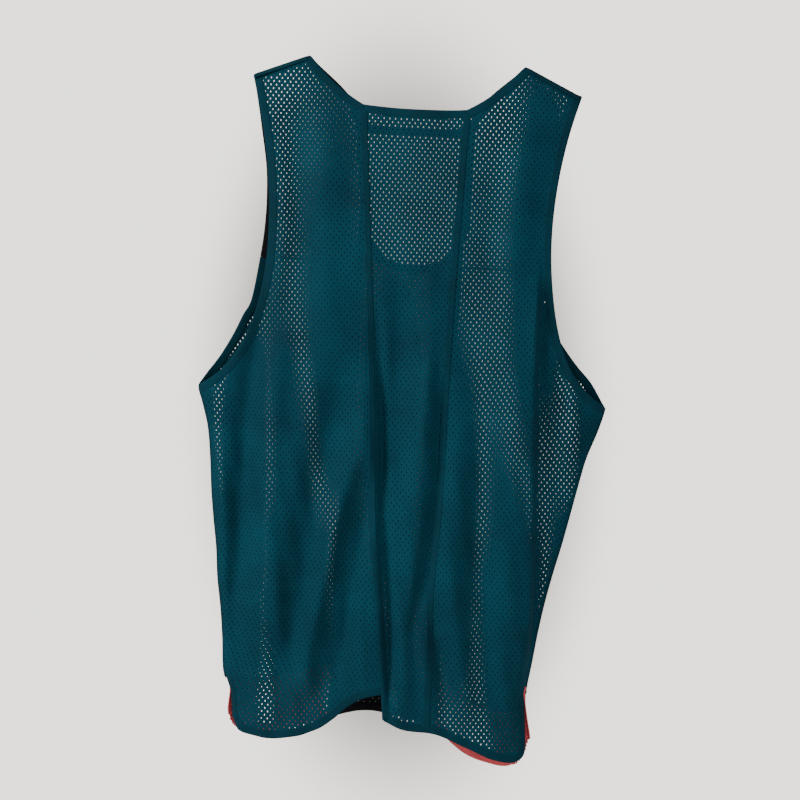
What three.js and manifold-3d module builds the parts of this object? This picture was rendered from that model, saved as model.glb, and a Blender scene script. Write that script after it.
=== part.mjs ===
// A sleeveless mesh sports vest, hanging slightly crooked from its two shoulder straps.
// Units are millimetres, +Z is up and the wearer's back faces -Y.
// Every piece is cut from one flattened body: a closed form that is wide, shallow and rolled over at
// the shoulders. Cloth is a thin layer of that form, and bands are a slightly thicker layer.
// Outlines are drawn flat, as on a pattern table, with x across the garment and z up it.
import * as THREE from "three";
import { mergeVertices } from "three/addons/utils/BufferGeometryUtils.js";
import { LoftGeometry } from "three/addons/geometries/LoftGeometry.js";
import Module from "manifold-3d";

const wasm = await Module();
wasm.setup();

// How it hangs
const HANG_TILT_DEG = 3.1; // the whole garment leans by this much on its hanger

// Widths are measured from the centre line, and drops from the neck end of the shoulder seams
const NECK_POINT_HALF = 116.7;
const SHOULDER_HALF = 175;
const SHOULDER_DROP = 27;
const BACK_NECK_HALF = 55.5;
const BACK_NECK_DROP = 50;
const BACK_NECK_SAG = 2.5;
const NECK_SLOPE_SAG = 5; // how far the slanting neck edges dip below a straight line
const CHEST_HALF = 148.5; // the narrowest place between the back armholes
const CHEST_DROP = 195;
const FRONT_CHEST_HALF = 151;
const FRONT_CHEST_DROP = 160;
const ARMPIT_HALF = 217;
const ARMPIT_DROP = 356;
const ARMPIT_TIP = 5; // the body form runs this much wider above the armpits
const WAIST_HALF = 192;
const WAIST_DROP = 470;
const HIP_HALF = 164;
const HIP_DROP = 620;
const HEM_HALF = 152;
const HEM_DROP = 740;
const SLIT_HEIGHT = 73; // of the side slits, above the lowest point of the hem
const SLIT_DROP = HEM_DROP - SLIT_HEIGHT; // where the side seams end
const FRONT_NECK_HALF = 54;
const FRONT_NECK_DROP = 218;
const FRONT_NECK_TURN = 85; // drop at which the slanting front neck edge turns straight down
const YOKE_DROP = FRONT_NECK_DROP - 5; // bottom edge of the dark front yokes
const HEM_PANEL_HEIGHT = 58; // red panels at the front hem

// Depth from the middle plane to either cloth
const SHOULDER_DEPTH = 12;
const CHEST_DEPTH = 25;
const WAIST_DEPTH = 32;
const HEM_DEPTH = 34;
const SHOULDER_ROLL = 14; // radius of the cloth where it rolls over the straps' top edge

// Seams of the centre back, top to bottom, as x and drop
const BACK_SEAM_LEFT = [[-BACK_NECK_HALF, BACK_NECK_DROP], [-37, 261], [-27, 405], [-20, 508], [2, HEM_DROP - 40]];
const BACK_SEAM_RIGHT = [[BACK_NECK_HALF, BACK_NECK_DROP], [49, 260], [48, 460], [42, 560], [46, HEM_DROP - 20]];
const FRONT_SEAM_HALF = 56;

// Hems, as x and the height that the folds lift the cloth above the lowest point of the hem
const BACK_HEM_LIFT_LEFT = [[-152, 20], [-121, 14], [-83, 20], [-52, 39], [-27, 60], [4, 69]];
const BACK_HEM_LIFT_RIGHT = [[2, 39], [24, 31], [51, 30], [97, 13], [125, 3], [152, 6]];
const FRONT_HEM_LIFT = [[-164, 21], [-120, 18], [-60, 38], [-19, 49], [30, 38], [66, 22], [105, 6], [141, 0], [160, 4]];

// Cloth and bands
const CLOTH = 1.0; // thickness of the mesh cloth
const BAND = 1.6; // thickness of hems, tapes and seams, which are folded double
const GAP = 0.4; // clearance between neighbouring pieces
const HEM_WIDTH = 9;
const TAPE_WIDTH = 8;
const SEAM_WIDTH = 6;
const SIDE_SEAM_REACH = 3;
const FACING_WIDTH = 7;
const INNER_TAPE_WIDTH = 9;
const INNER_TAPE_DROP = 19; // from the back neck edge to the inner tape
const TACK_HEIGHT = 3;
const TACK_REACH = 2.5;
const TACK_THICKNESS = 1.2;

// Fineness of the curved forms
const COLUMNS = 22;
const ROLL_ROWS = 4;
const BODY_ROWS = 17;
const CURVE_STEPS = 18;
const BELOW_HEM = 40; // the body form runs on below the lowest hem
const BEYOND = 60; // cutting plates run on past what they cut

const FINISHES = {
  teal_mesh: { color: 0x0b3f4e, roughness: 0.85 },
  teal_band: { color: 0x0a3644, roughness: 0.8 },
  black_mesh: { color: 0x16161b, roughness: 0.85 },
  black_band: { color: 0x121216, roughness: 0.8 },
  red_mesh: { color: 0xc9454c, roughness: 0.85 },
  red_band: { color: 0xb03a42, roughness: 0.8 },
  thread: { color: 0x0d4656, roughness: 0.6 },
};

// A smooth curve of value against drop through a few knots, flat beyond the ends.
function smoothThrough(knots) {
  const slope = (i) => {
    if (i === 0 || i === knots.length - 1) return 0;
    const [before, after] = [knots[i - 1], knots[i + 1]];
    return (after[1] - before[1]) / (after[0] - before[0]);
  };
  return (at) => {
    if (at <= knots[0][0]) return knots[0][1];
    if (at >= knots.at(-1)[0]) return knots.at(-1)[1];
    const i = knots.findIndex((knot) => knot[0] > at) - 1;
    const span = knots[i + 1][0] - knots[i][0];
    const t = (at - knots[i][0]) / span;
    const rise = knots[i + 1][1] - knots[i][1];
    const [m0, m1] = [slope(i) * span, slope(i + 1) * span];
    return knots[i][1] + t * (m0 + t * (3 * rise - 2 * m0 - m1 + t * (m0 + m1 - 2 * rise)));
  };
}

const bodyHalf = smoothThrough([
  [ARMPIT_DROP - 2 * SHOULDER_DROP, ARMPIT_HALF + ARMPIT_TIP],
  [ARMPIT_DROP, ARMPIT_HALF],
  [WAIST_DROP, WAIST_HALF],
  [HIP_DROP, HIP_HALF],
  [HEM_DROP, HEM_HALF],
]);

const bodyDepth = smoothThrough([
  [0, SHOULDER_DEPTH],
  [CHEST_DROP, CHEST_DEPTH],
  [WAIST_DROP, WAIST_DEPTH],
  [HEM_DROP, HEM_DEPTH],
]);

// Height of the shoulder line at x. It is level across the neck and falls along the seams.
function shoulderHeight(x) {
  const beyond = Math.max(Math.abs(x) - NECK_POINT_HALF, 0);
  return (-SHOULDER_DROP * beyond) / (SHOULDER_HALF - NECK_POINT_HALF);
}

// How far down the form each row of the loft lies: close together over the rolled top.
function rowDrops(roll, length) {
  const drops = [];
  for (let k = 0; k <= ROLL_ROWS; k++) {
    drops.push(roll * (1 - Math.cos(((k / ROLL_ROWS) * Math.PI) / 2)));
  }
  for (let k = 1; k <= BODY_ROWS; k++) {
    drops.push(roll + ((length - roll) * k) / BODY_ROWS);
  }
  return drops;
}

function toSolid(geometry) {
  const bare = new THREE.BufferGeometry();
  bare.setAttribute("position", geometry.getAttribute("position"));
  bare.setIndex(geometry.index);
  const merged = mergeVertices(bare, 1e-4);
  return new wasm.Manifold(
    new wasm.Mesh({
      numProp: 3,
      vertProperties: merged.attributes.position.array,
      triVerts: new Uint32Array(merged.index.array),
    }),
  );
}

// The whole flattened body as a solid, grown outwards by an offset.
function bodySolid(offset) {
  const sections = [];
  const roll = SHOULDER_ROLL + offset;
  const bottom = HEM_DROP + BELOW_HEM;
  for (let i = 0; i <= COLUMNS; i++) {
    const turn = (i / COLUMNS - 0.5) * Math.PI;
    const across = Math.sin(turn);
    const fullness = i % COLUMNS ? Math.cos(turn) : 0;
    const top = shoulderHeight(across * (ARMPIT_HALF + ARMPIT_TIP)) + offset;
    const back = [];
    const front = [];
    for (const drop of rowDrops(roll, bottom + top)) {
      const z = top - drop;
      const rolled = Math.sqrt(1 - (1 - Math.min(drop / roll, 1)) ** 2);
      const x = across * (bodyHalf(-z) + offset);
      const y = (bodyDepth(-z) + offset) * fullness * rolled;
      back.push(new THREE.Vector3(x, -y, z));
      front.push(new THREE.Vector3(x, y, z));
    }
    sections.push([...front.reverse(), ...back.slice(1)]);
  }
  return toSolid(new LoftGeometry(sections, { closed: true }));
}

// A layer of the form between two offsets from its middle surface.
const layer = (inner, outer) => bodySolid(outer).subtract(bodySolid(inner));
const clothLayer = layer(-CLOTH / 2, CLOTH / 2);
const bandLayer = layer(-BAND / 2, BAND / 2);

// A flat outline made into a cutting plate that reaches through the back cloth, the front or both.
function plate(points, side) {
  const reach = HEM_DEPTH + BEYOND;
  const shape = new THREE.Shape(points);
  const depth = side === "both" ? 2 * reach : reach;
  const geometry = new THREE.ExtrudeGeometry(shape, { depth, bevelEnabled: false });
  geometry.rotateX(Math.PI / 2);
  if (side === "back") geometry.translate(0, -GAP / 2, 0);
  if (side === "front") geometry.translate(0, reach + GAP / 2, 0);
  if (side === "both") geometry.translate(0, reach, 0);
  return toSolid(geometry);
}

const point = (x, drop) => new THREE.Vector2(x, -drop);
const mirrored = (points) => points.map((p) => new THREE.Vector2(-p.x, p.y)).reverse();
const onSide = (side, points) => (side < 0 ? mirrored(points) : points);

// A strip along a line of points. Its two edges lie to the right of the line by near and far.
function strip(line, near, far) {
  const offsetBy = (distance) =>
    line.map((p, i) => {
      const before = line[Math.max(i - 1, 0)];
      const after = line[Math.min(i + 1, line.length - 1)];
      const along = after.clone().sub(before).normalize();
      return new THREE.Vector2(p.x + along.y * distance, p.y - along.x * distance);
    });
  return [...offsetBy(near), ...offsetBy(far).reverse()];
}

// The same line carried straight on past both of its ends.
function extended(line, distance) {
  const [first, second] = line;
  const [last, previous] = [line.at(-1), line.at(-2)];
  const before = first.clone().sub(second).setLength(distance).add(first);
  const after = last.clone().sub(previous).setLength(distance).add(last);
  return [before, ...line, after];
}

const splinePoints = (pairs) =>
  new THREE.SplineCurve(pairs.map(([x, drop]) => point(x, drop))).getPoints(CURVE_STEPS);

// Outline curves of the garment's right half, all running from top to bottom
const neckPoint = point(NECK_POINT_HALF, 0);
const shoulderTip = point(SHOULDER_HALF, SHOULDER_DROP);
const armpitTip = point(ARMPIT_HALF, ARMPIT_DROP);

function slantingNeck(cornerHalf, cornerDrop) {
  const sagging = point((NECK_POINT_HALF + cornerHalf) / 2, cornerDrop / 2 + 2 * NECK_SLOPE_SAG);
  return new THREE.QuadraticBezierCurve(neckPoint, sagging, point(cornerHalf, cornerDrop)).getPoints(8);
}

// An armhole falls from the shoulder tip to its narrowest place and sweeps out to the armpit.
function armhole(chestHalf, chestDrop) {
  const inwards = SHOULDER_HALF - chestHalf;
  const falling = new THREE.CubicBezierCurve(
    shoulderTip,
    point(SHOULDER_HALF - 0.45 * inwards, SHOULDER_DROP + 0.21 * (chestDrop - SHOULDER_DROP)),
    point(chestHalf, SHOULDER_DROP + 0.55 * (chestDrop - SHOULDER_DROP)),
    point(chestHalf, chestDrop),
  );
  const sweeping = new THREE.CubicBezierCurve(
    point(chestHalf, chestDrop),
    point(chestHalf, chestDrop + 0.41 * (ARMPIT_DROP - chestDrop)),
    point(chestHalf + 0.26 * (ARMPIT_HALF - chestHalf), chestDrop + 0.86 * (ARMPIT_DROP - chestDrop)),
    armpitTip,
  );
  return [...falling.getPoints(CURVE_STEPS / 2), ...sweeping.getPoints(CURVE_STEPS / 2).slice(1)];
}

const backArmhole = armhole(CHEST_HALF, CHEST_DROP);
const frontArmhole = armhole(FRONT_CHEST_HALF, FRONT_CHEST_DROP);
const shoulderLine = [neckPoint, shoulderTip];

// The side of the body from the armpit to below the hem, moved sideways.
function bodySide(fromDrop, toDrop, outwards) {
  const line = [];
  for (let k = 0; k <= CURVE_STEPS; k++) {
    const drop = fromDrop + ((toDrop - fromDrop) * k) / CURVE_STEPS;
    line.push(point(bodyHalf(drop) + outwards, drop));
  }
  return line;
}

const backNeckLine = new THREE.QuadraticBezierCurve(
  point(-BACK_NECK_HALF, BACK_NECK_DROP),
  point(0, BACK_NECK_DROP + 2 * BACK_NECK_SAG),
  point(BACK_NECK_HALF, BACK_NECK_DROP),
).getPoints(8);

// Half of the front neck edge: slanting, then straight down, then round to the centre line.
function frontNeckHalf() {
  const bend = point(FRONT_NECK_HALF, FRONT_NECK_TURN);
  const slanting = new THREE.QuadraticBezierCurve(neckPoint, point(FRONT_NECK_HALF + 4, BACK_NECK_DROP - 4), bend);
  const points = slanting.getPoints(8);
  const centre = point(0, FRONT_NECK_DROP - FRONT_NECK_HALF);
  for (let k = 0; k <= 8; k++) {
    const angle = ((k / 8) * Math.PI) / 2;
    const x = FRONT_NECK_HALF * Math.cos(angle);
    points.push(new THREE.Vector2(x, centre.y - FRONT_NECK_HALF * Math.sin(angle)));
  }
  return points;
}
const frontNeckLine = [...frontNeckHalf(), ...mirrored(frontNeckHalf()).slice(1)];

const seamLines = {
  backLeft: splinePoints(BACK_SEAM_LEFT),
  backRight: splinePoints(BACK_SEAM_RIGHT),
};
const straightSeam = (side, fromDrop) => [
  point(side * FRONT_SEAM_HALF, fromDrop),
  point(side * FRONT_SEAM_HALF, HEM_DROP + BELOW_HEM),
];

const hemLine = (lifts) => splinePoints(lifts.map(([x, lift]) => [x, HEM_DROP - lift]));
const backHemLeft = hemLine(BACK_HEM_LIFT_LEFT);
const backHemRight = hemLine(BACK_HEM_LIFT_RIGHT);
const frontHem = hemLine(FRONT_HEM_LIFT);



const shiftedLine = (line, distance) => strip(line, distance, distance).slice(0, line.length);
const WIDE = ARMPIT_HALF + BEYOND;
const HIGH = -BEYOND;

// The two cloths. Each has a neck edge and a hem that run from left to right, and a right armhole.
const backSlant = slantingNeck(BACK_NECK_HALF, BACK_NECK_DROP).slice(0, -1);
const sheets = {
  back: {
    neck: [...mirrored(backSlant).reverse(), ...backNeckLine, ...backSlant.slice().reverse()],
    armhole: backArmhole,
    hems: [backHemLeft, backHemRight],
  },
  front: { neck: frontNeckLine.slice().reverse(), armhole: frontArmhole, hems: [frontHem] },
};

// Cutting plates. Each takes away everything beyond an edge, moved into the cloth by an inset.
function neckOpening(sheet, inset, through = sheet) {
  const line = extended(shiftedLine(sheets[sheet].neck, inset), inset);
  return plate([...line, point(line.at(-1).x, HIGH), point(line[0].x, HIGH)], through);
}

function armOpening(sheet, side, inset, through = sheet) {
  const line = shiftedLine(sheets[sheet].armhole, inset);
  const tip = line.at(-1);
  const outline = [point(line[0].x, HIGH), ...line, point(WIDE, -tip.y), point(WIDE, HIGH)];
  return plate(onSide(side, outline), through);
}

function belowHem(sheet, hem, inset) {
  const line = hem.map((p) => new THREE.Vector2(p.x, p.y + inset));
  const floor = HEM_DROP + BELOW_HEM + BEYOND;
  const ends = [point(-WIDE, -line[0].y), point(WIDE, -line.at(-1).y)];
  return plate([ends[0], ...line, ends[1], point(WIDE, floor), point(-WIDE, floor)], sheet);
}

function sideOfBody(side, fromDrop, toDrop, inset, sheet) {
  const inner = bodySide(fromDrop, toDrop, -inset);
  return plate(onSide(side, [...inner, point(WIDE, toDrop), point(WIDE, fromDrop)]), sheet);
}

// The shoulder seam's plate reaches out past the shoulder tip, and stops at the neck end.
function overShoulder(side, inset) {
  const line = extended(shoulderLine, BEYOND);
  return plate(onSide(side, [...shiftedLine(line, inset), point(WIDE, HIGH), point(0, HIGH)]), "both");
}

// A block of the pattern table between two x values and two drops.
const block = (x0, x1, drop0, drop1, sheet) =>
  plate([point(x0, drop1), point(x1, drop1), point(x1, drop0), point(x0, drop0)], sheet);

// The whole area on one side of a seam, from a distance beside it.
function besideSeam(sheet, line, side, distance) {
  const edge = shiftedLine(extended(line, BEYOND), -side * distance);
  return plate([...edge, point(side * WIDE, -edge.at(-1).y), point(side * WIDE, -edge[0].y)], sheet);
}

// What is left of a layer inside a plate once its neighbours' plates are cut away.
const cutFrom = (material, inside, away) =>
  away.reduce((solid, cutter) => solid.subtract(cutter), material.intersect(inside));

const SIDES = [
  ["left", -1],
  ["right", 1],
];
const bothSides = (make) => SIDES.map(([, side]) => make(side));
const HEM_INSET = HEM_WIDTH + GAP;
const TAPE_INSET = TAPE_WIDTH / 2 + GAP;
const SIDE_TOP = ARMPIT_DROP - HEM_WIDTH;

// Edges that every panel of one cloth stops at
function panelEdges(sheet, hem) {
  return [
    neckOpening(sheet, HEM_INSET),
    belowHem(sheet, hem, HEM_INSET),
    ...bothSides((side) => armOpening(sheet, side, HEM_INSET)),
    ...bothSides((side) => overShoulder(side, SEAM_WIDTH + GAP)),
    ...bothSides((side) => sideOfBody(side, SIDE_TOP, SLIT_DROP + GAP, SIDE_SEAM_REACH + GAP, sheet)),
    ...bothSides((side) => sideOfBody(side, SLIT_DROP, HEM_DROP + BELOW_HEM, FACING_WIDTH + GAP, sheet)),
  ];
}

const vest = new THREE.Group();
vest.name = "vest";
vest.rotation.y = THREE.MathUtils.degToRad(HANG_TILT_DEG);

function addPiece(name, finish, solid) {
  const { numProp, vertProperties, triVerts } = solid.getMesh();
  const positions = new Float32Array((vertProperties.length / numProp) * 3);
  for (let i = 0; i < positions.length / 3; i++) {
    positions.set(vertProperties.subarray(i * numProp, i * numProp + 3), i * 3);
  }
  const geometry = new THREE.BufferGeometry();
  geometry.setAttribute("position", new THREE.BufferAttribute(positions, 3));
  geometry.setIndex(new THREE.BufferAttribute(new Uint32Array(triVerts), 1));
  geometry.computeVertexNormals();
  const material = new THREE.MeshStandardMaterial({ ...FINISHES[finish], metalness: 0 });
  const mesh = new THREE.Mesh(geometry, material);
  mesh.name = name;
  vest.add(mesh);
}

// Back cloth: a centre panel, two side panels and the tapes over their seams
function addBack() {
  const [seamLeft, seamRight] = [seamLines.backLeft, seamLines.backRight];
  const middle = besideSeam("back", seamLeft, 1, TAPE_INSET);
  const rightOfMiddle = besideSeam("back", seamRight, 1, -TAPE_INSET);
  addPiece(
    "back_centre_panel",
    "teal_mesh",
    cutFrom(clothLayer, middle, [rightOfMiddle, ...panelEdges("back", backHemRight)]),
  );
  const flanks = [
    ["left", besideSeam("back", seamLeft, -1, TAPE_INSET), backHemLeft],
    ["right", besideSeam("back", seamRight, 1, TAPE_INSET), backHemRight],
  ];
  for (const [name, inside, hem] of flanks) {
    addPiece(`back_side_panel_${name}`, "teal_mesh", cutFrom(clothLayer, inside, panelEdges("back", hem)));
  }
  const tapes = [
    ["left", seamLeft, backHemLeft],
    ["right", seamRight, backHemRight],
  ];
  for (const [name, line, hem] of tapes) {
    const inside = plate(strip(extended(line, BEYOND), -TAPE_WIDTH / 2, TAPE_WIDTH / 2), "back");
    const away = [neckOpening("back", HEM_INSET), belowHem("back", hem, HEM_INSET)];
    addPiece(`back_seam_tape_${name}`, "teal_band", cutFrom(bandLayer, inside, away));
  }
}

// Front cloth: a dark centre panel, dark yokes on the straps, side panels and red panels at the hem
function addFront() {
  const edges = panelEdges("front", frontHem);
  const centreHalf = FRONT_SEAM_HALF - TAPE_INSET;
  const floor = HEM_DROP + BELOW_HEM;
  const centre = block(-centreHalf, centreHalf, HIGH, floor, "front");
  addPiece("front_centre_panel", "black_mesh", cutFrom(clothLayer, centre, edges));
  const redTop = belowHem("front", frontHem, HEM_PANEL_HEIGHT);
  const redClear = belowHem("front", frontHem, HEM_PANEL_HEIGHT + GAP);
  for (const [name, side] of SIDES) {
    const inner = side * (FRONT_SEAM_HALF + TAPE_INSET);
    const reach = [inner, side * WIDE].sort((a, b) => a - b);
    const yoke = block(...reach, HIGH, YOKE_DROP, "front");
    const flank = block(...reach, YOKE_DROP + GAP, floor, "front");
    addPiece(`front_yoke_${name}`, "black_mesh", cutFrom(clothLayer, yoke, edges));
    addPiece(`front_side_panel_${name}`, "teal_mesh", cutFrom(clothLayer, flank, [redClear, ...edges]));
    const red = clothLayer.intersect(redTop);
    addPiece(`front_hem_panel_${name}`, "red_mesh", cutFrom(red, flank, edges));
    const line = straightSeam(side, 0);
    const inside = plate(strip(line, -TAPE_WIDTH / 2, TAPE_WIDTH / 2), "front");
    const away = [neckOpening("front", HEM_INSET), belowHem("front", frontHem, HEM_INSET)];
    addPiece(`front_seam_tape_${name}`, "black_band", cutFrom(bandLayer, inside, away));
  }
}

// Folded hems round the neck, armholes and bottom edge
function addHems() {
  const shoulders = bothSides((side) => overShoulder(side, SEAM_WIDTH + GAP));
  const corner = BACK_NECK_HALF;
  const neckBand = (sheet) => {
    const line = extended(sheets[sheet].neck, BEYOND);
    return cutFrom(bandLayer, plate(strip(line, 0, HEM_WIDTH), sheet), shoulders);
  };
  const backBand = neckBand("back");
  const floor = HEM_DROP;
  addPiece("back_neck_hem", "teal_band", backBand.intersect(block(-corner, corner, 0, floor, "back")));
  addPiece("front_neck_hem", "black_band", neckBand("front"));
  for (const [name, side] of SIDES) {
    const beyondCorner = [side * (corner + GAP), side * WIDE].sort((a, b) => a - b);
    const slant = block(...beyondCorner, HIGH, floor, "back");
    addPiece(`back_neck_slant_${name}`, "teal_band", backBand.intersect(slant));
    const armBand = (sheet) => {
      const line = extended(sheets[sheet].armhole, HEM_WIDTH);
      const inside = plate(onSide(side, strip(line, 0, HEM_WIDTH)), sheet);
      const reach = SIDE_SEAM_REACH + GAP;
      const seam = sideOfBody(side, SIDE_TOP, SLIT_DROP, reach, "both");
      return cutFrom(bandLayer, inside, [...shoulders, seam]);
    };
    addPiece(`back_armhole_hem_${name}`, "teal_band", armBand("back"));
    const frontBand = armBand("front");
    const upper = block(-WIDE, WIDE, HIGH, YOKE_DROP, "front");
    const lower = block(-WIDE, WIDE, YOKE_DROP + GAP, floor, "front");
    addPiece(`front_yoke_armhole_hem_${name}`, "black_band", frontBand.intersect(upper));
    addPiece(`front_armhole_hem_${name}`, "teal_band", frontBand.intersect(lower));
  }
  const hemBand = (sheet, line, inside, away = []) =>
    cutFrom(bandLayer, inside, [...away, belowHem(sheet, line, 0)]).intersect(belowHem(sheet, line, HEM_WIDTH));
  const [seamLeft, seamRight] = [seamLines.backLeft, seamLines.backRight];
  const half = GAP / 2;
  addPiece("back_hem_left", "teal_band", hemBand("back", backHemLeft, besideSeam("back", seamLeft, -1, half)));
  addPiece("back_hem_right", "teal_band", hemBand("back", backHemRight, besideSeam("back", seamRight, 1, half)));
  const middle = besideSeam("back", seamLeft, 1, half);
  const away = [besideSeam("back", seamRight, 1, -half)];
  addPiece("back_hem_centre", "teal_band", hemBand("back", backHemRight, middle, away));
  const centre = block(-FRONT_SEAM_HALF, FRONT_SEAM_HALF, 0, HEM_DROP + BELOW_HEM, "front");
  addPiece("front_hem_centre", "black_band", hemBand("front", frontHem, centre));
  for (const [name, side] of SIDES) {
    const reach = [side * (FRONT_SEAM_HALF + GAP), side * WIDE].sort((a, b) => a - b);
    const flank = block(...reach, 0, HEM_DROP + BELOW_HEM, "front");
    addPiece(`front_hem_${name}`, "red_band", hemBand("front", frontHem, flank));
  }
}

// Shoulder seams, side seams, slit facings, bar tacks and the tape inside the back neck
function addJoins() {
  const tackLayer = layer(BAND / 2 + GAP, BAND / 2 + GAP + TACK_THICKNESS);
  for (const [name, side] of SIDES) {
    const ends = [armOpening("back", side, 0, "both"), neckOpening("back", 0, "both")];
    const shoulder = cutFrom(bandLayer, overShoulder(side, SEAM_WIDTH), ends);
    addPiece(`shoulder_seam_${name}`, "teal_band", shoulder);
    const seamSide = sideOfBody(side, SIDE_TOP, SLIT_DROP, SIDE_SEAM_REACH, "both");
    addPiece(`side_seam_${name}`, "teal_band", cutFrom(bandLayer, seamSide, [armOpening("back", side, 0, "both")]));
    for (const [sheet, finish, hem] of [
      ["back", "teal_band", side < 0 ? backHemLeft : backHemRight],
      ["front", "red_band", frontHem],
    ]) {
      const facing = sideOfBody(side, SLIT_DROP + GAP, HEM_DROP + BELOW_HEM, FACING_WIDTH, sheet);
      const away = [belowHem(sheet, hem, HEM_INSET)];
      addPiece(`${sheet}_slit_facing_${name}`, finish, cutFrom(bandLayer, facing, away));
    }
    const tackDrops = [SLIT_DROP - TACK_HEIGHT / 2, SLIT_DROP + TACK_HEIGHT / 2];
    const tack = sideOfBody(side, ...tackDrops, TACK_REACH, "both");
    addPiece(`bar_tack_${name}`, "thread", tackLayer.intersect(tack));
  }
  const outside = -CLOTH / 2 - GAP;
  const innerLayer = layer(outside - CLOTH, outside);
  const line = backNeckLine;
  const tape = plate(strip(line, INNER_TAPE_DROP, INNER_TAPE_DROP + INNER_TAPE_WIDTH), "back");
  addPiece("back_neck_inner_tape", "teal_band", innerLayer.intersect(tape));
}

addBack();
addFront();
addHems();
addJoins();

export default vest;
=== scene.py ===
"""A teal mesh sports vest hanging from its shoulder straps, seen from the back.

The cloth is drawn flat on a pattern, draped over a shallow body form with folds listed one by one, and
knitted into an open mesh by Geometry Nodes. Pattern sizes are in millimetres, the scene in metres.
"""
import logging
import math
from dataclasses import dataclass
from enum import Enum
from typing import Callable, ClassVar, Dict, List, Optional, Sequence, Tuple

import bmesh
import bpy
import numpy as np
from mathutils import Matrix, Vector


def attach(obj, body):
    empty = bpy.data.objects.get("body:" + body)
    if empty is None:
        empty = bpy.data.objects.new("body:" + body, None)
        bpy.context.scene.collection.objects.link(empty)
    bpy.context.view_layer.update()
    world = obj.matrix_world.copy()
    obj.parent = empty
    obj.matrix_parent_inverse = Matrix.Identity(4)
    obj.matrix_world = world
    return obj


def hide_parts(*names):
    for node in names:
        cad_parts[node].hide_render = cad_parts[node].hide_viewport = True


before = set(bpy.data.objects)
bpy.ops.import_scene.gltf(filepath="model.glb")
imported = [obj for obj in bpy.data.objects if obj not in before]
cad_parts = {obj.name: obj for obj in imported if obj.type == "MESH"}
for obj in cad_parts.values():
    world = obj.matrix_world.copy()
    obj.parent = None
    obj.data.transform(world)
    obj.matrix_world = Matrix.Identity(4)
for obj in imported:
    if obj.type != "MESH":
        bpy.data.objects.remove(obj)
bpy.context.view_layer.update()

MM = 0.001
log = logging.getLogger("vest")

Line = np.ndarray  # points of an outline, one (x, z) row each
Knots = Sequence[Tuple[float, float]]
Edges = Tuple[Line, Line, Line, Line]  # top and bottom from left to right, then left and right, falling
Laps = Dict[str, Tuple[float, float]]  # edges that run on under a seam, and between which heights


class Side(Enum):
    """The two cloths of the garment, by the way they face along Y."""

    BACK = -1
    FRONT = 1


# ---------------------------------------------------------------- small geometry helpers


def hermite(t: np.ndarray, start: np.ndarray, rise: np.ndarray, m0: np.ndarray, m1: np.ndarray) -> np.ndarray:
    """A cubic from start, rising by rise as t runs from 0 to 1, with end slopes m0 and m1."""
    return start + t * (m0 + t * (3 * rise - 2 * m0 - m1 + t * (m0 + m1 - 2 * rise)))


def smooth_through(knots: Knots) -> Callable[[np.ndarray], np.ndarray]:
    """Makes a smooth curve through a few knots, flat beyond its ends.

    Args:
        knots: pairs of place and value, in rising order of place.

    Returns:
        A function of place that works on arrays.
    """
    at = np.array([k[0] for k in knots], float)
    value = np.array([k[1] for k in knots], float)
    slope = np.zeros_like(value)
    slope[1:-1] = (value[2:] - value[:-2]) / (at[2:] - at[:-2])

    def curve(place: np.ndarray) -> np.ndarray:
        """Value at each place."""
        place = np.clip(np.asarray(place, float), at[0], at[-1])
        i = np.clip(np.searchsorted(at, place, side="right") - 1, 0, len(at) - 2)
        span = at[i + 1] - at[i]
        return hermite((place - at[i]) / span, value[i], value[i + 1] - value[i],
                       slope[i] * span, slope[i + 1] * span)

    return curve


def bezier(points: Sequence[Tuple[float, float]], steps: int) -> Line:
    """Points along a Bezier curve of any order.

    Args:
        points: its control points.
        steps: number of spans.

    Returns:
        steps + 1 points.
    """
    t = np.linspace(0, 1, steps + 1)[:, None]
    order = len(points) - 1
    out = np.zeros((steps + 1, 2))
    for k, point in enumerate(points):
        out += math.comb(order, k) * t**k * (1 - t) ** (order - k) * np.array(point, float)
    return out


def spline(pairs: Knots, steps: int = 60) -> Line:
    """Points of a smooth line through (x, z) pairs.

    Args:
        pairs: the points that it passes through.
        steps: number of spans.

    Returns:
        steps + 1 points, evenly spread along the knots.
    """
    points = np.array(pairs, float)
    slope = np.gradient(points, axis=0)
    t = np.linspace(0, len(points) - 1, steps + 1)
    i = np.clip(np.floor(t).astype(int), 0, len(points) - 2)
    return hermite((t - i)[:, None], points[i], points[i + 1] - points[i], slope[i], slope[i + 1])


def resampled(line: Line, count: int) -> Line:
    """The same line with evenly spaced points.

    Args:
        line: two or more points.
        count: how many to give back.

    Returns:
        count points by arc length.
    """
    steps = np.linalg.norm(np.diff(line, axis=0), axis=1)
    along = np.concatenate([[0], np.cumsum(steps)])
    want = np.linspace(0, along[-1], count)
    return np.stack([np.interp(want, along, line[:, k]) for k in range(line.shape[1])], axis=1)


def line_length(line: Line) -> float:
    """Length of a line of points."""
    return float(np.linalg.norm(np.diff(line, axis=0), axis=1).sum())


def inward(line: Line) -> Line:
    """Unit vectors to the right of the line's direction."""
    along = np.gradient(line, axis=0)
    along /= np.maximum(np.linalg.norm(along, axis=1), 1e-9)[:, None]
    return np.stack([along[:, 1], -along[:, 0]], axis=1)


# ---------------------------------------------------------------- the pattern


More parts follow.
